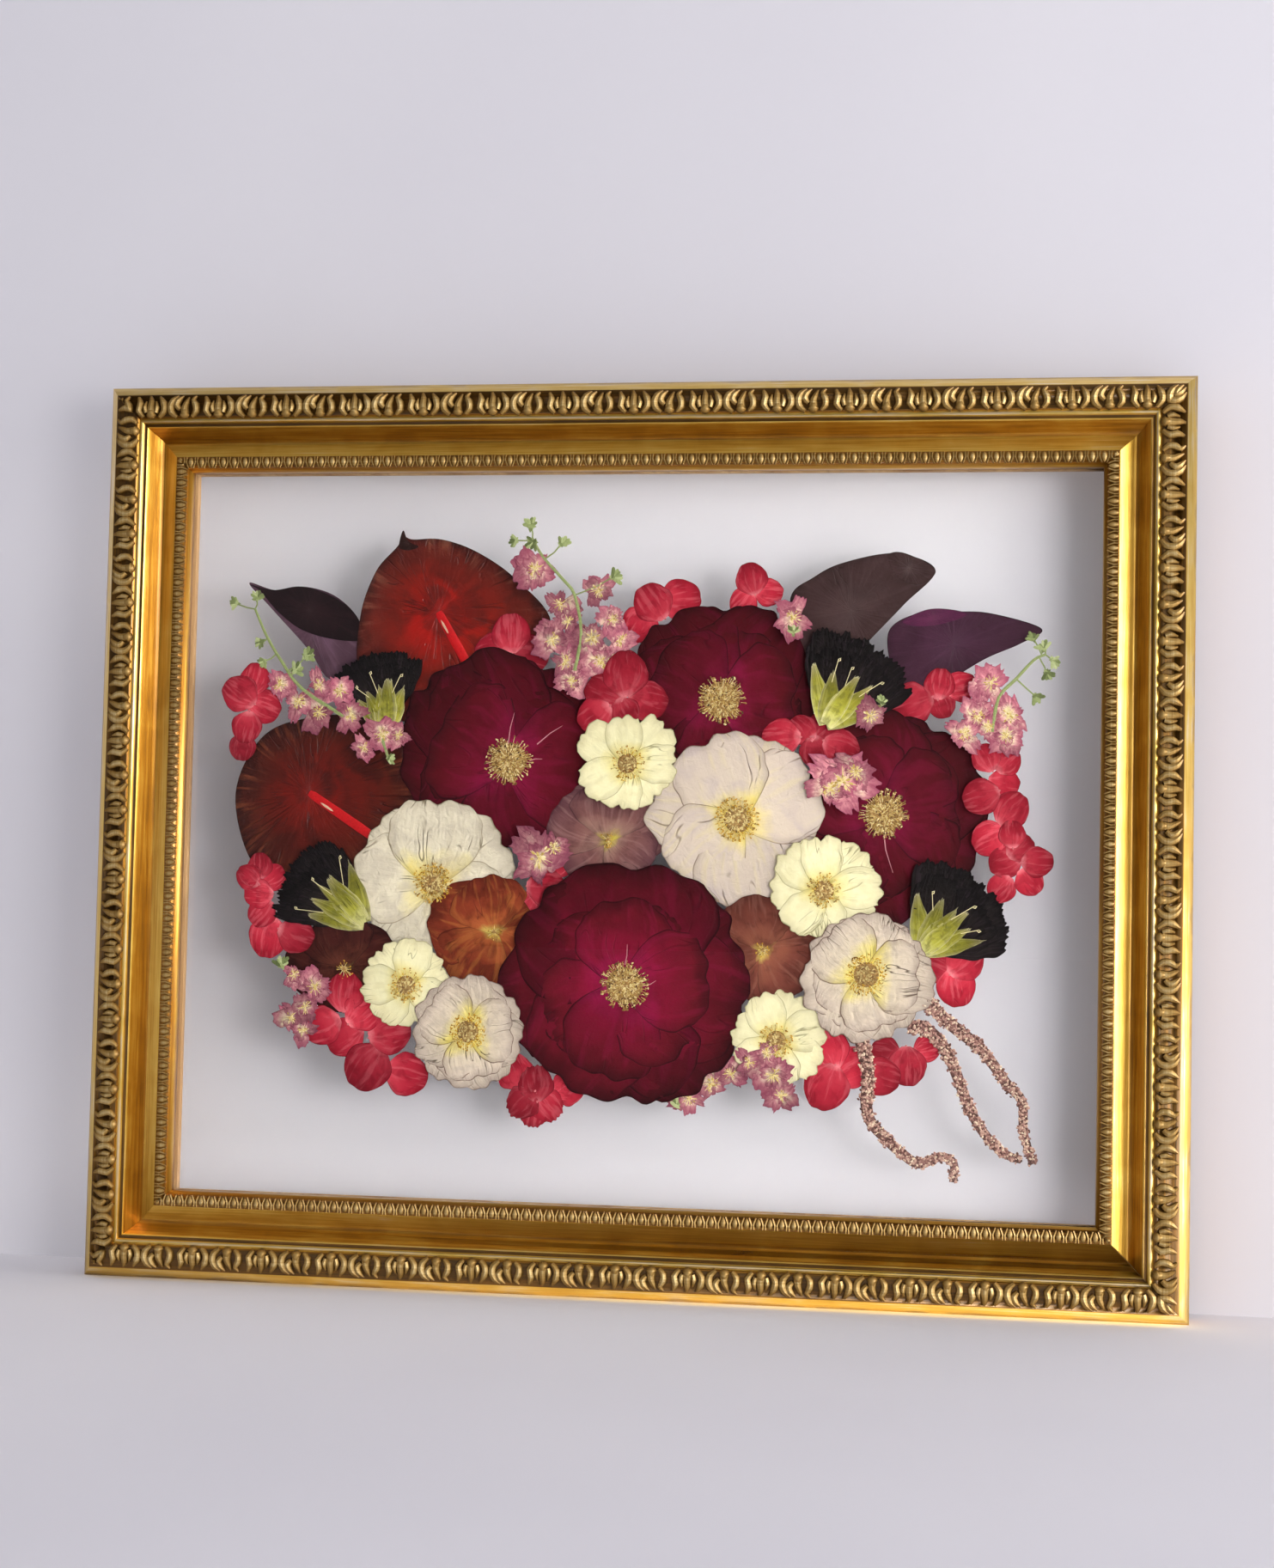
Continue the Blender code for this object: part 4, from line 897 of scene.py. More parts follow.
# ======== frame ========
@dataclass
class Rail:
    """One mitred length of the moulding, made along X with its sight edge on z = 0, then turned."""

    name: str
    sight: float  # length of its sight edge, mm
    across: float  # the opening's size across it, mm
    turn: float  # about Y, degrees
    curl: int  # which way the leaves curl along it
    joint: float = 0.05  # gap left at a mitre, mm
    rounding: float = 0.3  # share of each edge of the section that its corners are rounded over
    egg_pitch: float = 6.2
    egg_row: Place = (4.9, 22.2)  # middle of the row of eggs: out from the sight edge, height
    leaf_pitch: float = 19.0
    leaf_row: Place = (28.6, 28.5)  # inner edge of the carved leaves, and the height of their foot
    crest: float = 2.5  # how high the leaves stand on their foot
    fullness: float = 1.4  # how much broader the leaves' strokes are than drawn
    # The section: out from the sight edge, height above the back plane, and brightness of the gilding, which is painted
    # shade in the grooves and hollows, over their brown toning, and painted highlight on the ridges, the outer slope
    # and the scoop's inner wall.
    section: tuple[Spot, ...] = (
        (0, LEDGE, 0.3), (RABBET, LEDGE, 0.3), (RABBET, 0, 0.3), (FACE, 0, 0.4), (FACE, 19, 0.84),
        (42.6, 26, 0.88), (41.4, 27.4, 0.25), (30, 28.7, 0.2), (29, 28.2, 0.4), (28.5, 27.4, 0.7),
        (27.7, 28, 0.9), (26.7, 28, 0.95), (26, 27.3, 0.7), (25.5, 26.7, 0.25), (24.4, 26.7, 0.25),
        (23.9, 27, 0.85), (22.9, 25.6, 0.6), (21, 21.8, 0.56), (18.8, 18.4, 0.54), (17, 17.3, 0.54),
        (15.8, 17.6, 0.74), (8.8, 22, 0.8),
        (7.6, 22.4, 0.35), (5, 22.6, 0.3), (2.6, 21.6, 0.4), (2.2, 19.4, 0.6), (0, 18.6, 0.7))
    # Carved strokes of the two leaf groups, as points along and out from the row, with their widths.
    claw_group: tuple[tuple[tuple[Place, ...], tuple[float, ...]], ...] = (
        (((4.4, 0.4), (7.4, 3), (8, 6.6), (6.4, 10), (3.6, 12.4)), (0.9, 1.5, 1.7, 1.4, 0.4)),
        (((2.6, 4.6), (4.6, 7), (3.6, 9.8), (1, 12.2)), (1.0, 1.5, 1.3, 0.4)),
        (((0, 3), (0, 6.2), (-1.2, 9), (-2.4, 11.6)), (1.8, 1.5, 1.1, 0.4)),
        (((-4, 0.8), (-6.4, 3.6), (-6.2, 7.2), (-4.8, 10), (-6.6, 12.2)), (0.8, 1.4, 1.5, 1.1, 0.5)))
    fork_group: tuple[tuple[tuple[Place, ...], tuple[float, ...]], ...] = (
        (((4.4, 0.6), (7, 4), (6.2, 8), (7.6, 11.8)), (0.9, 1.5, 1.5, 0.6)),
        (((0, 3), (0.2, 6.4), (0, 9.4), (0.6, 12.4)), (2.0, 1.7, 1.3, 0.5)),
        (((2.8, 3), (3.5, 6), (2.8, 9.4)), (1.0, 1.1, 0.4)),
        (((-2.8, 3), (-3.5, 6), (-2.6, 9.4)), (1.0, 1.1, 0.4)),
        (((-4.6, 0.6), (-7.5, 4.2), (-7.1, 8.2), (-4.8, 12)), (0.9, 1.5, 1.6, 0.5)))

    def body(self) -> Mould:
        """Draw the section point by point, round its corners, and extrude it along the rail."""
        spots = [Vector((0, DEPTH / 2 - height, out)) for out, height, _ in self.section]
        bpy.ops.mesh.primitive_plane_add(size=1)
        made = bpy.context.object
        Bench.edit(made)
        bpy.ops.mesh.merge(type="CENTER")
        bpy.ops.transform.translate(value=spots[0])
        for here, ahead in zip(spots, spots[1:]):
            bpy.ops.mesh.extrude_region_move(TRANSFORM_OT_translate={"value": ahead - here})
        bpy.ops.mesh.select_all(action="SELECT")
        bpy.ops.mesh.edge_face_add()
        Bench.pick(made, lambda _, co: co.y < DEPTH / 2 - 17.1 and co.z < FACE - 1)
        bpy.ops.mesh.bevel(offset_type="PERCENT", offset_pct=100 * self.rounding, segments=3, affect="VERTICES")
        bpy.ops.mesh.select_all(action="SELECT")
        length = self.sight + 2 * FACE
        bpy.ops.transform.translate(value=(-length / 2, 0, 0))
        bpy.ops.mesh.extrude_region_move(TRANSFORM_OT_translate={"value": (length, 0, 0)})
        bpy.ops.mesh.select_all(action="SELECT")
        bpy.ops.mesh.normals_make_consistent(inside=False)
        mould = Mould.of(made)
        # The section's brightness becomes the tones: painted shade in the hollows, painted highlight on the ridges.
        known = np.array([(DEPTH / 2 - height, out) for out, height, _ in self.section])
        near = np.linalg.norm(mould.points[:, None, 1:] - known[None], axis=2).argmin(axis=1)
        mould.tones = np.array([tone for _, _, tone in self.section])[near]
        return mould

    def egg(self) -> Mould:
        """One egg between two thin arcs."""
        bpy.ops.mesh.primitive_uv_sphere_add(segments=8, ring_count=6, radius=1)
        made = bpy.context.object
        Bench.edit(made)
        bpy.ops.transform.resize(value=(1.6, 3.2, 1.1))
        Bench.pick(made, lambda _, co: co.y < -0.5)
        bpy.ops.transform.resize(value=(0.75, 1, 0.9), center_override=(0, 0, 0))
        egg = Mould.of(made)
        # Painted shade at its foot and painted highlight on its top: the tone rises with its height.
        egg.tones = 0.45 + 0.5 * np.clip(egg.points[:, 2] / 1.1, 0, 1)
        return egg

    def arc(self, side: float) -> Mould:
        """The thin arc beside an egg."""
        arc = rod([(side * 2.3, 3.1), (side * 2.55, 0.4), (side * 1.3, -3.1)], [0.45, 0.6, 0.5], 5, 1.6)
        # Painted shade at its foot and painted highlight on its top: the tone rises with its height.
        arc.tones = 0.35 + 0.6 * np.clip(arc.points[:, 2] / 0.9, 0, 1)
        return arc

    def stroke(self, points: Sequence[Place], radii: Sequence[float]) -> Mould:
        """One carved stroke of a leaf, as high as it is wide."""
        line = smooth_line([(along * self.curl, out) for along, out in points], 2)
        spread = np.interp(np.linspace(0, 1, len(line)), np.linspace(0, 1, len(radii)), radii)
        carved = rod(line, list(self.fullness * spread), 8, self.crest / self.fullness / max(spread))
        # Painted shade at its foot and painted highlight on its top: the tone rises with its height.
        carved.tones = 0.3 + 0.7 * np.clip(carved.points[:, 2] / self.crest, 0, 1)
        return carved

    def bud(self) -> Mould:
        """The heart-shaped bud at the foot of a leaf group."""
        bpy.ops.mesh.primitive_uv_sphere_add(segments=10, ring_count=8, radius=1)
        made = bpy.context.object
        Bench.edit(made)
        bpy.ops.transform.resize(value=(3.1, 3.1, 2.9))
        Bench.pick(made, lambda _, co: co.y > 0.3)
        bpy.ops.transform.resize(value=(0.7, 1.15, 0.95), center_override=(0, 0, 0))
        bud = Mould.of(made)
        # Painted shade at its foot and painted highlight on its top: the tone rises with its height.
        bud.tones = 0.25 + 0.6 * np.clip(bud.points[:, 2] / 2.9, 0, 1)
        return bud

    def carve(self, made: Gathering) -> None:
        """Set the eggs and the leaves along the rail."""
        eggs = [self.egg(), self.arc(1), self.arc(-1)]
        count = 2 * round(self.sight / self.egg_pitch / 2) + 2
        pitch = self.sight / (count - 2)
        for k in range(count + 1):
            place = self.spot((k - count / 2) * pitch, self.egg_row)
            for mould in eggs:
                made.add(mould, place, 2)
        bud = self.bud()
        groups = [[self.stroke(*stroke) for stroke in group] for group in (self.claw_group, self.fork_group)]
        length = self.sight + 2 * (self.leaf_row[0] + 12)
        count = round(length / self.leaf_pitch)
        for k in range(count + 1):
            along = (k - count / 2) * length / count
            for stroke in groups[k % 2]:
                made.add(stroke, self.spot(along, self.leaf_row), 2)
            made.add(bud, self.spot(along, (self.leaf_row[0] + 2.5, self.leaf_row[1])), 2)

    @staticmethod
    def spot(along: float, row: Place) -> Matrix:
        """Where a shape goes that is carved at a place on the moulding's face."""
        return Matrix.Translation(Vector((along, DEPTH / 2 - row[1], row[0])) * MM) @ UPRIGHT @ Matrix.Scale(MM, 4)

    def build(self) -> None:
        """Carve the rail, mitre it, dress it and hang it in its place."""
        made = Gathering(self.name, [coat(Gilding()), coat(RawWood()), coat(CARVING)])
        made.add(self.body(), Matrix.Scale(MM, 4))
        self.carve(made)
        rail = made.build(35)
        Bench.edit(rail)
        for side in (-1, 1):
            bpy.ops.mesh.select_all(action="SELECT")
            corner = side * (self.sight / 2 - self.joint) * MM
            bpy.ops.mesh.bisect(plane_co=(corner, 0, 0), plane_no=(side, 0, -1), use_fill=True, clear_outer=True)
        Bench.close()
        mesh = rail.data
        layer = mesh.uv_layers["UVMap"].data
        for face in mesh.polygons:
            if face.normal.y > 0.9 and face.center.y > 0:
                face.material_index = 1
            for corner in face.loop_indices:
                co = mesh.vertices[mesh.loops[corner].vertex_index].co
                layer[corner].uv = (co.z / MM / FACE, co.x * 10 + self.turn)
        angle = math.radians(self.turn)
        out = Vector((math.sin(angle), 0, math.cos(angle))) * self.across / 2 + Vector((0, 0, CENTRE_HEIGHT))
        rail.matrix_world = Matrix.Translation(out * MM) @ Matrix.Rotation(angle, 4, "Y")
        Bench.settle(rail)
        hand_over(rail, Slot.GILT_WOOD, self.name)


@dataclass
class Glazing:
    """The two panes, and the thin wooden slip that holds them in from behind."""

    panes: tuple[str, ...] = ("glass_front", "glass_back")
    slip: Place = (5.0, 4.4)  # its width and its depth, mm
    gap: float = 0.3

    def dress_panes(self) -> None:
        """Give both panes clear glass that lets the light through."""
        for name in self.panes:
            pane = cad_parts[name]
            pane.data.materials.clear()
            pane.data.materials.append(coat(ClearGlass()))
            pane.visible_shadow = False
            LOG.info("%s: clear glass", name)

    def build_slip(self) -> None:
        """Inset a plate to a narrow border, thicken it and round its edges."""
        bpy.ops.mesh.primitive_plane_add(size=1, rotation=(math.pi / 2, 0, 0))
        slip = bpy.context.object
        slip.name = slip.data.name = "glazing_slip"
        slip.scale = (PANE_WIDTH * MM - 2 * self.gap * MM, PANE_HEIGHT * MM - 2 * self.gap * MM, 1)
        slip.location = (0, (DEPTH / 2 - self.gap) * MM, CENTRE_HEIGHT * MM)
        Bench.settle(slip)
        Bench.edit(slip)
        bpy.ops.mesh.inset(thickness=self.slip[0] * MM)
        bpy.ops.mesh.delete(type="FACE")
        bpy.ops.mesh.select_all(action="SELECT")
        bpy.ops.mesh.extrude_region_move(TRANSFORM_OT_translate={"value": (0, -self.slip[1] * MM, 0)})
        bpy.ops.mesh.select_all(action="SELECT")
        bpy.ops.mesh.normals_make_consistent(inside=False)
        Bench.close()
        Bench.apply(slip, "BEVEL", width=0.4 * MM, segments=2)
        slip.data.materials.append(coat(RawWood()))
        hand_over(slip, Slot.GILT_WOOD)

    def build(self) -> None:
        """Dress the panes and make the slip."""
        self.dress_panes()
        self.build_slip()


# ======== petals ========
@dataclass(frozen=True)
class PetalPattern:
    """The shape that the petals of one kind of flower are cut from, in mm."""

    name: str
    reach: float
    breadth: float
    base: float = 0.25  # width at the base, as a share of the breadth
    peak: float = 0.62  # where it is broadest, as a share of the reach
    tip: float = 0.82  # width at the tip
    corner: float = 0.19  # how much shorter it is at its sides
    notch: float = 0.0  # depth of the notch in the tip
    ragged: float = 0.02  # how uneven its outline is
    teeth: int = 0
    tooth: float = 0.05
    ruffle: float = 0.1  # how far it bends out of flat, mm
    cells: int = 20
    kinds: int = 4
    thickness: float = 0.07

    def width_at(self, t: float) -> float:
        """Its width at a share of its reach, as a share of its breadth."""
        if t < self.peak:
            return self.base + (1 - self.base) * math.sin(math.pi / 2 * t / self.peak)
        return self.tip + (1 - self.tip) * math.cos(math.pi / 2 * (t - self.peak) / (1 - self.peak))

    def reach_at(self, s: float) -> float:
        """Its reach at a place across it, from -1 to 1, as a share of its whole reach."""
        reach = 1 - self.corner * abs(s) ** 2.4 - self.notch * math.exp(-((s / 0.16) ** 2))
        return reach - self.tooth * abs((s * self.teeth) % 1 - 0.5) if self.teeth else reach

    def cut(self, seed: int) -> Mould:
        """Cut one petal: a grid drawn in column by column and row by row, crumpled, with a thickness.

        Args:
            seed: which of the pattern's petals.

        Returns:
            The petal's mould, its base at the origin and its tip along +X.
        """
        draw = random.Random(f"{self.name} {seed}")
        waves = [(draw.uniform(0, 6.3), turns) for turns in (2, 3, 5, 7)]

        def wobble(t: float) -> float:
            """How much the outline strays at a place along it."""
            return self.ragged * sum(math.sin(turns * math.pi * t + phase) for phase, turns in waves) / 2

        bpy.ops.mesh.primitive_grid_add(x_subdivisions=self.cells, y_subdivisions=self.cells, size=1,
                                        location=(0.5, 0, 0))
        petal = bpy.context.object
        Bench.settle(petal)
        spots = [(round(vert.co.x * self.cells), round((vert.co.y + 0.5) * self.cells))
                 for vert in petal.data.vertices]
        Bench.edit(petal)
        for k in range(self.cells + 1):
            t = k / self.cells
            Bench.pick(petal, lambda index, _: spots[index][0] == k)
            width = self.width_at(t) + (wobble(t) if t > 0.3 else 0)
            bpy.ops.transform.resize(value=(1, width, 1), center_override=(0, 0, 0))
            Bench.pick(petal, lambda index, _: spots[index][1] == k)
            bpy.ops.transform.resize(value=(self.reach_at(2 * t - 1) + wobble(t + 2), 1, 1),
                                     center_override=(0, 0, 0))
        bpy.ops.mesh.select_all(action="SELECT")
        bpy.ops.transform.resize(value=(self.reach, self.breadth, 1), center_override=(0, 0, 0))
        Bench.close()
        rim = petal.vertex_groups.new(name="rim")
        for index, (column, _) in enumerate(spots):
            rim.add([index], (column / self.cells) ** 1.5, "REPLACE")
        where = (draw.uniform(0, 500), draw.uniform(0, 500), 0)
        Bench.crumple(petal, 2 * self.ruffle, self.breadth * 0.3, where, "rim")
        Bench.crumple(petal, self.ruffle, self.breadth * 0.08, where, "rim")
        Bench.apply(petal, "SOLIDIFY", thickness=self.thickness, offset=0)
        return Mould.of(petal)


@cache
def petals_of(pattern: PetalPattern) -> tuple[Mould, ...]:
    """The petals of a pattern, cut when they are first asked for."""
    return tuple(pattern.cut(seed) for seed in range(pattern.kinds))


@cache
def grain() -> Mould:
    """A small rough grain, one unit in radius."""
    bpy.ops.mesh.primitive_ico_sphere_add(subdivisions=1, radius=1)
    made = bpy.context.object
    Bench.edit(made)
    Bench.pick(made, lambda index, _: index % 3 == 0)
    bpy.ops.transform.resize(value=(1.2, 0.8, 1), center_override=(0, 0, 0))
    return Mould.of(made)


@cache
def thread() -> Mould:
    """A thin tapering thread along X, one unit long and one in radius at its start."""
    return rod([(0, 0), (1, 0)], [1.0, 0.6], 4)


@cache
def cushion() -> Mould:
    """A low round cushion, one unit in radius and one high, inset and raised twice."""
    bpy.ops.mesh.primitive_circle_add(vertices=24, radius=1, fill_type="NGON")
    made = bpy.context.object
    Bench.edit(made)
    for thickness, rise in ((0.15, 0.6), (0.4, 0.4)):
        bpy.ops.mesh.inset(thickness=thickness)
        bpy.ops.transform.translate(value=(0, 0, rise))
    mould = Mould.of(made)
    mould.tones = 0.3 + 0.3 * mould.points[:, 2]
    return mould


@dataclass(frozen=True)
class StamenStyle:
    """The stamens in the middle of a kind of bloom."""

    count: int
    ring: tuple[float, float]  # how near and how far the anthers lie, as shares of the disc's radius
    anther: float  # length of an anther, mm
    anthers: GrainFinish
    eye: float  # radius of the cushion in the middle, as a share of the disc's
    lumps: int = 0  # grains over the cushion


@dataclass(frozen=True)
class BloomStyle:
    """How a kind of open flower is made."""

    pattern: PetalPattern
    finish: PetalFinish
    slot: Slot
    stamens: StamenStyle
    inner: int = 0  # petals of the inner ring
    inner_reach: float = 0.75
    overlap: float = 1.1  # how much broader a petal is than its share of the solid
    inner_breadth: float = 0.95  # of an inner petal, as a share of the outer ones' reach
    stretch: float = 1.0  # how much further the petals reach under their neighbours


ROSE_PETAL = PetalPattern("rose", 56, 46, notch=0.03, ragged=0.025, ruffle=0.12, cells=24)
BROAD_PETAL = PetalPattern("white", 44, 38, notch=0.05, ragged=0.03, ruffle=0.11, cells=22)
NOTCHED_PETAL = PetalPattern("cream", 27, 19, base=0.3, peak=0.7, tip=0.88, corner=0.1, notch=0.09,
                             ragged=0.03, ruffle=0.08, cells=14)
FAN_PETAL = PetalPattern("fan", 28, 29, base=0.15, peak=0.7, tip=0.85, corner=0.2, ragged=0.03, cells=16)
ROUND_PETAL = PetalPattern("round", 20, 20, base=0.22, peak=0.55, tip=0.82, corner=0.26, ragged=0.012,
                           ruffle=0.08, cells=14)
SERRATED_PETAL = PetalPattern("serrated", 20, 20, base=0.2, peak=0.6, tip=0.85, corner=0.26, ragged=0.02,
                              teeth=7, tooth=0.12, ruffle=0.08, cells=20)
SMALL_PETAL = PetalPattern("small", 10, 8, base=0.22, peak=0.62, tip=0.8, corner=0.28, notch=0.12,
                           ragged=0.1, ruffle=0.16, cells=11, kinds=10)
FRILLED_PETAL = PetalPattern("frilled", 50, 24, base=0.1, peak=0.9, tip=0.96, corner=0.12, ragged=0.04,
                             teeth=9, tooth=0.1, ruffle=0.1, cells=26)
SEPAL = PetalPattern("sepal", 24, 11, base=0.7, peak=0.35, tip=0.22, corner=0.1, ragged=0.04, ruffle=0.08,
                     cells=12)

ROSE_STAMENS = StamenStyle(330, (0.1, 1.12), 0.75, ANTHERS, 0.82, 45)
WHITE_STAMENS = StamenStyle(190, (0.55, 1.12), 0.6, GOLD_ANTHERS, 0.66, 110)
CREAM_STAMENS = StamenStyle(110, (0.5, 1.2), 0.5, GOLD_ANTHERS, 0.66, 60)
SPARSE = StamenStyle(26, (0.2, 0.9), 0.5, GOLD_ANTHERS, 0.3)
ROSE = BloomStyle(ROSE_PETAL, ROSE_FINISH, Slot.ROSE_PETAL, ROSE_STAMENS, 5, 0.8, 1.3)
CRIMSON_ROSE = BloomStyle(ROSE_PETAL, CRIMSON_FINISH, Slot.ROSE_PETAL, ROSE_STAMENS, 7, 0.74, 1.42, 0.58)
CRINKLED = BloomStyle(BROAD_PETAL, CRINKLED_FINISH, Slot.WHITE_PETAL, WHITE_STAMENS, 5, 0.84, 1.2)
CREAM = BloomStyle(NOTCHED_PETAL, CREAM_FINISH, Slot.CREAM_PETAL, CREAM_STAMENS, overlap=1.15)
STYLES = {
    **dict.fromkeys(ROSES, ROSE), **dict.fromkeys(CREAMS, CREAM), "rose_centre": CRIMSON_ROSE,
    "white_large": BloomStyle(BROAD_PETAL, BLUSH_FINISH, Slot.WHITE_PETAL, WHITE_STAMENS, overlap=1.32),
    "white_left": BloomStyle(BROAD_PETAL, IVORY_FINISH, Slot.WHITE_PETAL, WHITE_STAMENS, overlap=1.28),
    "white_bottom": CRINKLED, "white_right": CRINKLED,
    "mauve_bloom": BloomStyle(FAN_PETAL, MAUVE_FINISH, Slot.MAUVE_PETAL, SPARSE, overlap=1.45, stretch=1.12),
    "copper_bloom_left": BloomStyle(FAN_PETAL, COPPER_FINISH, Slot.COPPER_PETAL, SPARSE, overlap=1.45, stretch=1.12),
    "copper_bloom_right": BloomStyle(FAN_PETAL, RUSSET_FINISH, Slot.COPPER_PETAL, SPARSE, overlap=1.45, stretch=1.12),
    "brown_bloom": BloomStyle(FAN_PETAL, BROWN_FINISH, Slot.BROWN_PETAL, SPARSE, overlap=1.45, stretch=1.12),
}


# ======== flowers ========
@dataclass
class Bloom:
    """An open flower: its petals round a disc of stamens."""

    name: str
    middle: Place
    disc: float
    petals: Sequence[tuple[float, float, float]]
    style: BloomStyle
    rise: float = 0.7  # how far the stamens stand forward where there is room, mm
    twist: float = 0.25  # how much each petal lies over the next, mm

    def build(self) -> None:
        """Lay the petals and the stamens."""
        style, draw = self.style, random.Random(self.name)
        front = front_of(self.name)
        made = Gathering(self.name, [coat(style.finish), coat(style.stamens.anthers), coat(FILAMENTS),
                                     coat(EYE_GRAINS), coat(TAN_EYE), coat(PINK_THREADS)])
        shapes = petals_of(style.pattern)
        mean = sum(reach for _, reach, _ in self.petals) / len(self.petals)
        inner = [(draw.uniform(-12, 12) + k * 360 / style.inner, mean * style.inner_reach * draw.uniform(0.94, 1.05),
                  mean * style.inner_breadth) for k in range(style.inner)]
        for ring, petals in enumerate((self.petals, inner)):
            for k, (angle, reach, breadth) in enumerate(petals):
                size = (reach * style.stretch / style.pattern.reach, breadth * style.overlap / style.pattern.breadth, 1)
                depth = front + (0.1 + 0.035 * (3 * k % 5) - 0.12 * ring) * MM
                roll = math.degrees(self.twist / breadth) * draw.uniform(-0.7, 0.7)
                tone = draw.random() if not inner else 0.45 * ring + 0.5 * draw.random()
                made.add(draw.choice(shapes), laid(self.middle, depth, angle, size, roll), tone=tone)
        self.add_stamens(made, draw, front)
        for line in LONG_FILAMENTS.get(self.name, []):
            made.add(rod(line, [0.35, 0.25, 0.1], 5, 0.4), laid((0, 0), front - 0.06 * MM), 5, 0.4)
        hand_over(made.build(), style.slot, self.name)

    def add_stamens(self, made: Gathering, draw: random.Random, front: float) -> None:
        """Scatter the anthers on their threads round a cushion, and pale grains in its middle.

        Args:
            made: what they are gathered in.
            draw: the flower's own random numbers.
            front: how deep its front lies.
        """
        style = self.style.stamens
        rise = max(min(self.rise, (front - PANE_FACE) / MM - 0.25), 0.0)
        near, far = (share * self.disc for share in style.ring)
        eye = style.eye * self.disc
        made.add(cushion(), laid(self.middle, front - 0.08 * MM, 0, (eye, eye, 0.4 * rise + 0.05)), 4)
        for _ in range(style.count):
            angle = draw.uniform(0, 360)
            distance = near + (far - near) * draw.random() ** 0.75
            depth = front - (0.35 * rise + 0.06 + draw.uniform(0, 0.6 * rise)) * MM
            size = style.anther * draw.uniform(0.7, 1.3)
            made.add(grain(), laid(polar(self.middle, angle, distance), depth, draw.uniform(0, 360),
                                   (size, size * 0.6, 0.22)), 1, draw.random())
            start = max(near * 0.8, distance - draw.uniform(1.5, 4))
            made.add(thread(), laid(polar(self.middle, angle, start), depth + 0.05 * MM, angle,
                                    (distance - start, 0.15, 0.12)), 2, draw.random())
        for _ in range(style.lumps):
            distance = eye * 0.8 * draw.random() ** 0.5
            spot = polar(self.middle, draw.uniform(0, 360), distance)
            depth = front - (0.08 + (0.4 * rise + 0.05) * (1 - 0.6 * distance / eye) + 0.05) * MM
            size = draw.uniform(0.7, 1.4)
            made.add(grain(), laid(spot, depth, draw.uniform(0, 360), (size, size * 0.6, 0.25)), 3,
                     draw.uniform(0.1, 1))


@dataclass
class HydrangeaCluster:
    """Florets of hydrangea, pressed so that their round petals lie over each other."""

    name: str
    petals: Sequence[Spot]
    pattern: PetalPattern = ROUND_PETAL
    reach: float = 24.0  # how near a petal's neighbours are that it shares a floret with, mm

    def heart_of(self, index: int) -> Place:
        """The middle of the floret that a petal belongs to."""
        x, z, _ = self.petals[index]
        near = [(a, b) for k, (a, b, _) in enumerate(self.petals)
                if k != index and math.dist((a, b), (x, z)) < self.reach]
        return tuple(np.mean(near, axis=0)) if near else (x, z + 1)

    def build(self) -> None:
        """Lay the petals from their florets' hearts outwards."""
        draw = random.Random(self.name)
        front = front_of(self.name)
        made = Gathering(self.name, [coat(HYDRANGEA_FINISH), coat(FLORET_EYE)])
        shapes = petals_of(self.pattern)
        for k, (x, z, radius) in enumerate(self.petals):
            heart = self.heart_of(k)
            angle = math.degrees(math.atan2(z - heart[1], x - heart[0]))
            base = polar((x, z), angle + 180, radius)
            size = (2.1 * radius / self.pattern.reach, 2.1 * radius / self.pattern.breadth, 1)
            depth = front + (0.06 + 0.04 * (k % 3)) * MM
            made.add(draw.choice(shapes), laid(base, depth, angle, size), tone=draw.random())
            if k % 3 == 0:
                made.add(grain(), laid(base, front, angle, (0.8, 0.7, 0.15)), 1, 0.5)
        hand_over(made.build(), Slot.HYDRANGEA_PETAL, self.name)


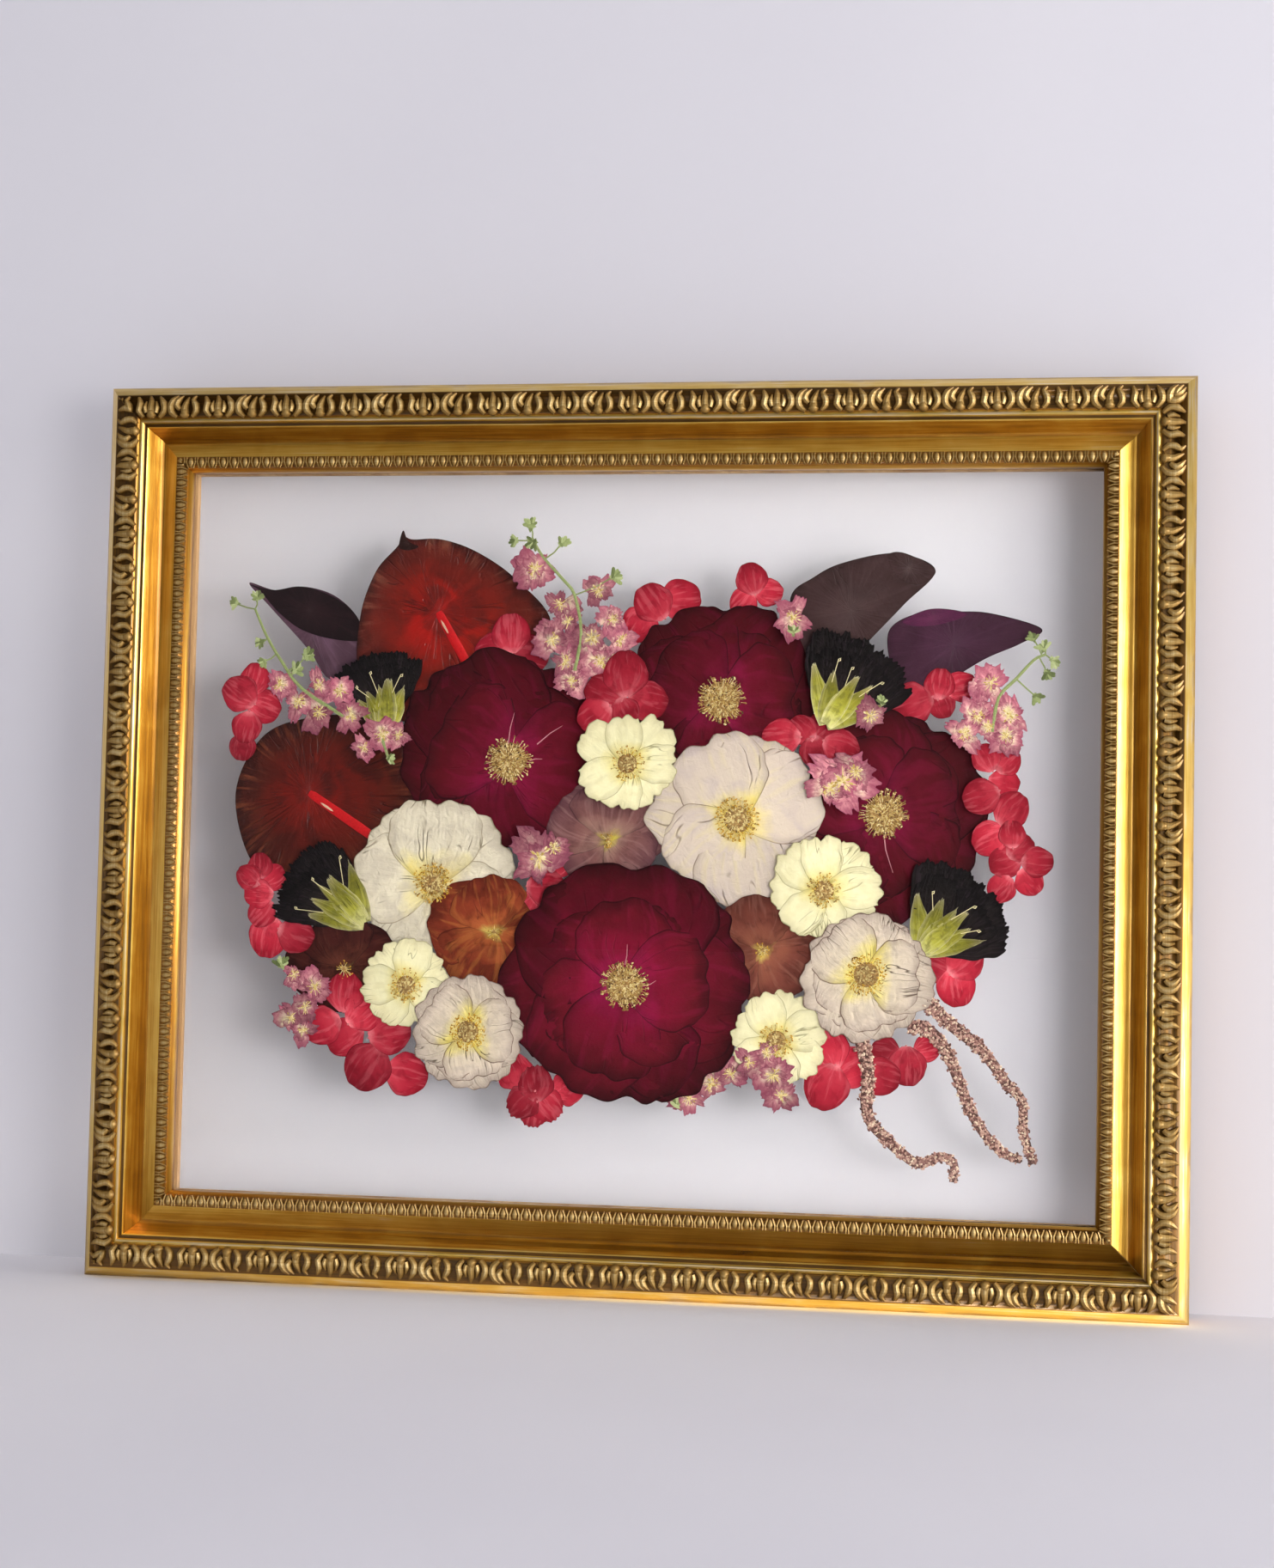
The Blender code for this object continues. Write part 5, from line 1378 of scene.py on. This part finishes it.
@dataclass
class StockSprig:
    """A sprig of stock: crinkled florets and buds on thin stems."""

    name: str
    stems: Sequence[Sequence[Place]]
    buds: Sequence[Spot]
    florets: Sequence[Spot]
    stem: float = 1.0  # radius of a stem, mm
    stalk: float = 0.45

    def stalk_to(self, spot: Place) -> list[Place]:
        """A short stalk from a bud to the nearest place on the first stem."""
        line = self.stems[0]
        feet = []
        for a, b in zip(line, line[1:]):
            _, share = geometry.intersect_point_line(spot, a, b)
            feet.append(tuple(Vector(a).lerp(Vector(b), min(max(share, 0.0), 1.0))))
        foot = min(feet, key=lambda place: math.dist(place, spot))
        return [foot, ((foot[0] + spot[0]) / 2 + 0.6, (foot[1] + spot[1]) / 2 - 0.6), spot]

    def add_floret(self, made: Gathering, draw: random.Random, floret: Spot, front: float, turn: float) -> None:
        """Lay one open floret: five crinkled petals, five crumpled over them, and a pale eye.

        Args:
            made: what it is gathered in.
            draw: the sprig's own random numbers.
            floret: its middle and radius.
            front: how deep the sprig's front lies.
            turn: how far the floret is turned, in degrees.
        """
        x, z, radius = floret
        shapes = petals_of(SMALL_PETAL)
        tone = draw.random()
        for k in range(10):
            share = draw.uniform(0.74, 1.28) if k < 5 else draw.uniform(0.4, 0.8)
            angle = turn + 72 * k + draw.uniform(-26, 26) + (36 if k >= 5 else 0)
            size = (radius * share / SMALL_PETAL.reach,
                    radius * share * draw.uniform(0.55, 1.15) / SMALL_PETAL.breadth, 1)
            depth = front + (0.18 - 0.018 * k) * MM
            foot = polar((x, z), draw.uniform(0, 360), radius * 0.22 * draw.random())
            made.add(draw.choice(shapes), laid(foot, depth, angle, size), tone=0.6 * tone + 0.4 * draw.random())
        for k in range(22):
            way, distance = draw.uniform(0, 360), radius * 0.36 * draw.random()
            size = radius * draw.uniform(0.05, 0.1)
            made.add(grain(), laid(polar((x, z), way, distance), front, way, (size, size * 0.6, 0.15)), 1, draw.random())
            if k % 2:
                made.add(thread(), laid((x, z), front, way, (radius * draw.uniform(0.3, 0.5), 0.2, 0.15)), 1, 0.8)

    def build(self) -> None:
        """Lay the stems, the buds and the florets."""
        draw = random.Random(self.name)
        front = front_of(self.name)
        made = Gathering(self.name, [coat(STOCK_FINISH), coat(FILAMENTS), coat(GREENERY)])
        for line in self.stems:
            curve = smooth_line(line)
            radii = list(np.linspace(self.stem * 0.7, self.stem, len(curve)))
            made.add(rod(curve, radii, 6, 0.2), laid((0, 0), front + 0.1 * MM), 2, 0.5)
        for x, z, radius in self.buds:
            way = 90.0
            if self.stems:
                stalk = self.stalk_to((x, z))
                made.add(rod(stalk, [self.stalk] * 3, 5, 0.3), laid((0, 0), front + 0.1 * MM), 2, 0.45)
                way = math.degrees(math.atan2(z - stalk[0][1], x - stalk[0][0]))
            for k in range(6):
                turn = way + (k - 2.5) * 26 + draw.uniform(-8, 8)
                spot = polar((x, z), turn, radius * draw.uniform(0.15, 0.6))
                size = radius * draw.uniform(0.6, 0.9)
                made.add(grain(), laid(spot, front + (0.1 - 0.02 * k) * MM, turn, (size, size * 0.42, 0.18)), 2,
                         draw.random())
        for k, floret in enumerate(self.florets):
            self.add_floret(made, draw, floret, front, 37 * k)
        hand_over(made.build(), Slot.STOCK_PETAL, self.name)


@dataclass
class Carnation:
    """A carnation pressed from the side: a fan of frilled petals out of a green calyx."""

    name: str
    base: Place
    angle: float
    reach: float
    spread: float

    def build(self) -> None:
        """Lay the petals, the calyx over them, and the curled styles."""
        draw = random.Random(self.name)
        front = front_of(self.name)
        made = Gathering(self.name, [coat(CARNATION_FINISH), coat(CALYX_FINISH), coat(FILAMENTS)])
        fan = petals_of(FRILLED_PETAL)
        for k in range(15):
            row, share = divmod(k, 8)
            along = self.spread * (0.8 - 0.12 * row) * (2 * share / (7 - row) - 1)
            reach = self.reach * draw.uniform(0.92, 1.0) * (0.98 - 0.16 * row)
            size = (reach / FRILLED_PETAL.reach, draw.uniform(0.8, 1.05) * self.spread / 38, 1)
            made.add(draw.choice(fan), laid(self.base, front + (0.14 - 0.006 * k) * MM, self.angle + along, size),
                     tone=draw.random())
        sepal = petals_of(SEPAL)
        start = polar(self.base, self.angle + 180, 1)
        for k, share in enumerate((-1, 1, -0.55, 0.45, 0.05, -0.2)):
            turn = self.angle + share * self.spread * 1.05 + draw.uniform(-5, 5)
            size = (self.reach * draw.uniform(0.5, 0.66) / SEPAL.reach, draw.uniform(0.85, 1.1), 1)
            made.add(sepal[k % 4], laid(start, front + (0.03 - 0.012 * k) * MM, turn, size), 1, draw.random())
        for k in range(3):
            way = self.angle + (k - 1) * self.spread * 0.6 + draw.uniform(-6, 6)
            foot = polar(self.base, way, self.reach * 0.42)
            tip = polar(self.base, way + draw.uniform(-8, 8), self.reach * draw.uniform(0.6, 0.72))
            hook = [polar(tip, way + side * 60, 1.2) for side in (-1, -2, -3)]
            made.add(rod([foot, tip, *hook], [0.2, 0.22, 0.28, 0.3, 0.15], 5, 0.5),
                     laid((0, 0), front - 0.04 * MM), 2, 1.0)
        hand_over(made.build(), Slot.CARNATION_PETAL, self.name)


@dataclass
class PressedLeaf:
    """A leaf or spathe: one broad sheet drawn in from its outline to its heart, with its folds."""

    name: str
    outline: Sequence[Place]
    finish: PetalFinish
    slot: Slot
    spadix: tuple[Place, Place] | None = None
    folds: Sequence[tuple[PetalFinish, Sequence[Place]]] = ()
    ribs: Sequence[Sequence[Place]] = ()
    rings: int = 14
    thickness: float = 0.12
    ruffle: float = 0.16  # mm

    def blade(self, outline: Sequence[Place], heart: Place) -> Mould:
        """Extrude an outline inwards ring by ring, crumple it and give it a thickness.

        Args:
            outline: the points it runs through.
            heart: where its veins meet.

        Returns:
            The sheet's mould, its heart at the origin.
        """
        rim = smooth_outline(outline)
        x, z = heart
        bpy.ops.mesh.primitive_circle_add(vertices=len(rim), radius=1, fill_type="NOTHING")
        sheet = bpy.context.object
        for vert, spot in zip(sheet.data.vertices, rim):
            vert.co = (spot[0] - x, spot[1] - z, 0)
        Bench.edit(sheet)
        for ring in range(self.rings, 0, -1):
            bpy.ops.mesh.extrude_region_move(TRANSFORM_OT_translate={"value": (0, 0, 0)})
            share = (ring - 1) / ring
            bpy.ops.transform.resize(value=(share, share, 1), center_override=(0, 0, 0))
        bpy.ops.mesh.merge(type="COLLAPSE")
        bpy.ops.mesh.select_all(action="SELECT")
        bpy.ops.mesh.normals_make_consistent(inside=False)
        Bench.close()
        self.lay_uv(sheet, [(a - x, b - z) for a, b in rim])
        where = (x * 7.0, z * 7.0, 0)
        Bench.crumple(sheet, self.ruffle, 22.0, where)
        Bench.crumple(sheet, self.ruffle / 2, 4.0, where)
        if sum(face.normal.z * face.area for face in sheet.data.polygons) < 0:
            sheet.data.flip_normals()
        Bench.apply(sheet, "SOLIDIFY", thickness=self.thickness, offset=0)
        return Mould.of(sheet)

    @staticmethod
    def lay_uv(sheet: bpy.types.Object, rim: Sequence[Place]) -> None:
        """Lay the sheet's map out as a disc: its heart in the middle and its rim at one.

        Args:
            sheet: the flat sheet, its heart at the origin.
            rim: its outline.
        """
        angles = np.array([math.atan2(b, a) for a, b in rim])
        order = np.argsort(angles)
        lengths = np.hypot(*np.array(rim).T)[order]
        layer = sheet.data.uv_layers["UVMap"].data
        for loop, corner in zip(sheet.data.loops, layer):
            a, b, _ = sheet.data.vertices[loop.vertex_index].co
            way = math.atan2(b, a)
            share = math.hypot(a, b) / np.interp(way, angles[order], lengths, period=2 * math.pi)
            corner.uv = (share * math.cos(way), share * math.sin(way))

    def build(self) -> None:
        """Lay the sheet and its folds, and its spadix if it has one."""
        front = front_of(self.name)
        sheets = [(self.finish, self.outline), *self.folds]
        made = Gathering(self.name, [coat(finish) for finish, _ in sheets] 
                         + [coat(SPADIX_FINISH), coat(FADED_LEAF), coat(PALE_STREAK)])
        for k, (_, outline) in enumerate(sheets):
            heart = self.spadix[0] if self.spadix and not k else tuple(np.mean(outline, axis=0))
            made.add(self.blade(outline, heart), laid(heart, front + (0.14 - 0.13 * k) * MM), k, 0.5)
        for line in self.ribs:
            curve = smooth_line(line)
            made.add(rod(curve, list(np.linspace(0.5, 0.2, len(curve))), 6, 0.3), laid((0, 0), front), len(sheets) + 1, 0.5)
        if self.spadix:
            line = [tuple(Vector(self.spadix[0]).lerp(Vector(self.spadix[1]), t)) for t in (0, 0.06, 0.4, 0.7, 0.92, 1)]
            made.add(rod(line, [1.6, 2.3, 2.5, 2.6, 2.4, 1.8], 10, 0.12), laid((0, 0), front - 0.02 * MM), len(sheets), 0.5)
            way = math.degrees(math.atan2(line[5][1] - line[0][1], line[5][0] - line[0][0]))
            spot = polar(tuple(Vector(line[1]).lerp(Vector(line[2]), 0.6)), way - 90, 0.9)
            # A thin pale streak laid along one side of the spadix.
            made.add(grain(), laid(spot, front - 0.3 * MM, way, (4.5, 0.8, 0.08)), len(sheets) + 2)
        hand_over(made.build(), self.slot, self.name)


@dataclass
class Tassel:
    """A hanging tassel of amaranth: a thread thick with small seed grains."""

    name: str
    points: Sequence[Place]
    widths: Place = (8.5, 5.0)  # at its top and at its tip, mm
    density: float = 1.15  # grains to each square mm

    def build(self) -> None:
        """Scatter the grains along the tassel's middle."""
        draw = random.Random(self.name)
        front = front_of(self.name)
        made = Gathering(self.name, [coat(AMARANTH_FINISH)])
        line = smooth_line(self.points, 4)
        # A flat core behind the grains; its dark tone is painted shade in the gaps between them.
        core = list(0.42 * np.linspace(*self.widths, len(line)))
        made.add(rod(line, core, 8, 0.02), laid((0, 0), front + 0.3 * MM), 0, 0.1)
        count = len(line) - 1
        for k in range(count):
            a, b = Vector(line[k]), Vector(line[k + 1])
            width = self.widths[0] + (self.widths[1] - self.widths[0]) * k / count
            width *= 1 + 0.22 * math.sin(k * 1.9) + 0.1 * math.sin(k * 0.7)
            side = (b - a).orthogonal().normalized()
            for _ in range(round((b - a).length * width * self.density)):
                spot = a.lerp(b, draw.random()) + side * width * draw.uniform(-0.44, 0.44)
                size = draw.uniform(0.65, 1.2)
                made.add(grain(), laid(tuple(spot), front + draw.uniform(-0.1, 0.25) * MM, draw.uniform(0, 360),
                                       (size, size * 0.75, 0.45)), 0, draw.random())
        hand_over(made.build(), Slot.AMARANTH_TASSEL, self.name)


# ======== stage ========
@dataclass
class Studio:
    """The plain pale floor and wall, the soft light and the camera."""

    extent: float = 6.0
    margin: float = 0.4  # how far the floor runs on behind the frame, m
    wall: float = 0.045  # how far back the wall stands, m
    slant: float = 2.0  # how far the wall is turned from the frame, degrees
    eye: Spot = (0.2036, -1.2889, 0.2048)
    look: Spot = (92.987, -1.232, 8.733)  # the camera's turn, degrees
    lens: float = 56.0
    height: float = 36.0  # of the camera's sensor, mm
    sky: float = 0.83  # strength of the even light from all round

    def plaster(self) -> bpy.types.Material:
        """Plain pale paint, seen from its front only, and darker in reflections away from the frame, as painted shade.
        """
        mix = Palette("pale_paint")
        cloud = mix.noise(mix.place, 3.0, 2.0)
        colour = mix.ramp(cloud, ((0.3, "dedee4"), (0.7, "e3e3e8")))
        # Painted shade in reflections: glossy rays see the paint fade to black beyond the frame.
        near = mix.step(mix.split(mix.place)[1], -0.9, -0.35)
        seen = mix.sum("SUBTRACT", 1.0, mix.sum("MULTIPLY", mix.mirrored, mix.sum("SUBTRACT", 1.0, near)))
        colour = mix.blend(1.0, colour, mix.vector(seen, seen, seen), "MULTIPLY")
        mix.surface(Base_Color=colour, Roughness=0.9, Specular_IOR_Level=0.1)
        clear = mix.node("ShaderNodeBsdfTransparent")
        choose = mix.node("ShaderNodeMixShader")
        mix.feed(choose.inputs[0], mix.node("ShaderNodeNewGeometry").outputs["Backfacing"])
        mix.feed(choose.inputs[1], mix.shader.outputs[0])
        mix.feed(choose.inputs[2], clear.outputs[0])
        mix.feed(mix.nodes["Material Output"].inputs[0], choose.outputs[0])
        return mix.material

    def build_room(self) -> None:
        """Lay the floor and stand the wall behind the frame."""
        plaster = self.plaster()
        bpy.ops.mesh.primitive_plane_add(size=2 * self.extent, location=(0, self.margin - self.extent, 0))
        floor = bpy.context.object
        bpy.ops.mesh.primitive_plane_add(size=2 * self.extent, location=(0, self.wall, self.extent),
                                         rotation=(math.pi / 2, 0, -math.radians(self.slant)))
        wall = bpy.context.object
        for name, part in (("floor", floor), ("wall", wall)):
            part.name = name
            part.data.materials.append(plaster)
            Bench.settle(part)
        wall.visible_shadow = False

    def add_light(self, name: str, place: Spot, aim: Spot, size: float, power: float,
                  tint: str) -> bpy.types.Object:
        """Add one large soft light.

        Args:
            name: its name.
            place: where it stands.
            aim: what it points at.
            size: its width, in metres.
            power: its power, in watts.
            tint: its colour.

        Returns:
            The light.
        """
        lamp = bpy.data.lights.new(name, "AREA")
        lamp.size, lamp.energy, lamp.color = size, power, paint(tint)[:3]
        obj = bpy.data.objects.new(name, lamp)
        obj.location = place
        obj.rotation_euler = (Vector(aim) - Vector(place)).to_track_quat("-Z", "Y").to_euler()
        obj.visible_camera = obj.visible_transmission = False
        bpy.context.scene.collection.objects.link(obj)
        return obj

    def build_light(self) -> None:
        """Soft daylight from the right, and a dim even fill."""
        world = bpy.data.worlds.new("studio")
        bpy.context.scene.world = world
        world.use_nodes = True
        nodes, links = world.node_tree.nodes, world.node_tree.links
        kinds = ("SeparateXYZ", "MapRange", "MapRange", "Math", "Mix")
        split, ahead, aside, mirrored, choose = (nodes.new(f"ShaderNode{kind}") for kind in kinds)
        links.new(nodes.new("ShaderNodeTexCoord").outputs["Generated"], split.inputs[0])
        for turn, part, span in ((ahead, 1, (-0.98, -0.8, 0.0, 0.5 * self.sky)), (aside, 0, (-0.9, 0.9, 0.15, 1.85))):
            links.new(split.outputs[part], turn.inputs["Value"])
            for name, value in zip(("From Min", "From Max", "To Min", "To Max"), span):
                turn.inputs[name].default_value = value
            links.new(turn.outputs["Result"], mirrored.inputs[part])
        mirrored.operation = "MULTIPLY"
        links.new(nodes.new("ShaderNodeLightPath").outputs["Is Glossy Ray"], choose.inputs[0])
        choose.inputs[2].default_value = self.sky
        links.new(mirrored.outputs[0], choose.inputs[3])
        background = nodes["Background"]
        background.inputs[0].default_value = paint("eeebef")
        links.new(choose.outputs[0], background.inputs[1])
        self.add_light("window", (1.2, -1.65, 0.2), (0, 0, 0.25), 0.6, 12.5, "fffaf8")
        self.add_light("side", (2.2, -0.3, 0.3), (0.2, 0, 0.25), 0.8, 33, "fffaf8")
        glint = self.add_light("glint", (1.95, -0.95, 0.3), (0, 0, 0.25), 0.9, 64, "fffcf0")
        glint.visible_diffuse = False

    def build_camera(self) -> None:
        """Stand the camera where the photograph was taken from."""
        lens = bpy.data.cameras.new("camera")
        lens.lens, lens.sensor_fit, lens.sensor_height = self.lens, "VERTICAL", self.height
        eye = bpy.data.objects.new("camera", lens)
        eye.location = self.eye
        eye.rotation_euler = [math.radians(turn) for turn in self.look]
        bpy.context.scene.collection.objects.link(eye)
        bpy.context.scene.camera = eye
        bpy.context.scene.view_settings.view_transform = "Standard"

    def build(self) -> None:
        """Set up the room, the light and the camera."""
        self.build_room()
        self.build_light()
        self.build_camera()


def main() -> None:
    """Build the frame, the glass and every pressed flower, and set them in the studio."""
    logging.basicConfig(level=logging.INFO, format="%(name)s: %(message)s")
    Studio().build()
    for name, sight, across, turn, curl in (("rail_top", SIGHT_WIDTH, SIGHT_HEIGHT, 0, -1),
                                            ("rail_right", SIGHT_HEIGHT, SIGHT_WIDTH, 90, 1),
                                            ("rail_bottom", SIGHT_WIDTH, SIGHT_HEIGHT, 180, 1),
                                            ("rail_left", SIGHT_HEIGHT, SIGHT_WIDTH, 270, -1)):
        Rail(name, sight, across, turn, curl).build()
    Glazing().build()
    for name, (middle, disc, petals) in {**ROSES, **WHITES, **CREAMS, **DUSKY}.items():
        Bloom(name, middle, disc, petals, STYLES[name]).build()
    for name, petals in HYDRANGEAS.items():
        pattern = SERRATED_PETAL if name == "hydrangea_bottom" else ROUND_PETAL
        HydrangeaCluster(name, petals, pattern).build()
    for name, sprig in STOCKS.items():
        StockSprig(name, **sprig).build()
    for name, carnation in CARNATIONS.items():
        Carnation(name, *carnation).build()
    for name, finish, folds, ribs in (("leaf_left", FADED_LEAF, [(NIGHT_LEAF, NIGHT_FOLD)], [LEAF_RIB]),
                                      ("leaf_right_tall", DUSKY_LEAF, [(DUSKY_LEAF, BROWN_FOLD)], []),
                                      ("leaf_right_wide", PLUM_LEAF, [(MAGENTA_LEAF, MAGENTA_FOLD)], [])):
        PressedLeaf(name, LEAVES[name], finish, Slot.PURPLE_LEAF, None, folds, ribs).build()
    for name, finish, folds in (("anthurium_top", SPATHE_FINISH, [(THORN, THORN_FOLD)]),
                                ("anthurium_left", DARK_SPATHE_FINISH, [])):
        outline, spadix = ANTHURIUMS[name]
        PressedLeaf(name, outline, finish, Slot.ANTHURIUM_SPATHE, spadix, folds).build()
    for name, points in STRANDS.items():
        Tassel(name, points).build()


if __name__ == "__main__":
    main()
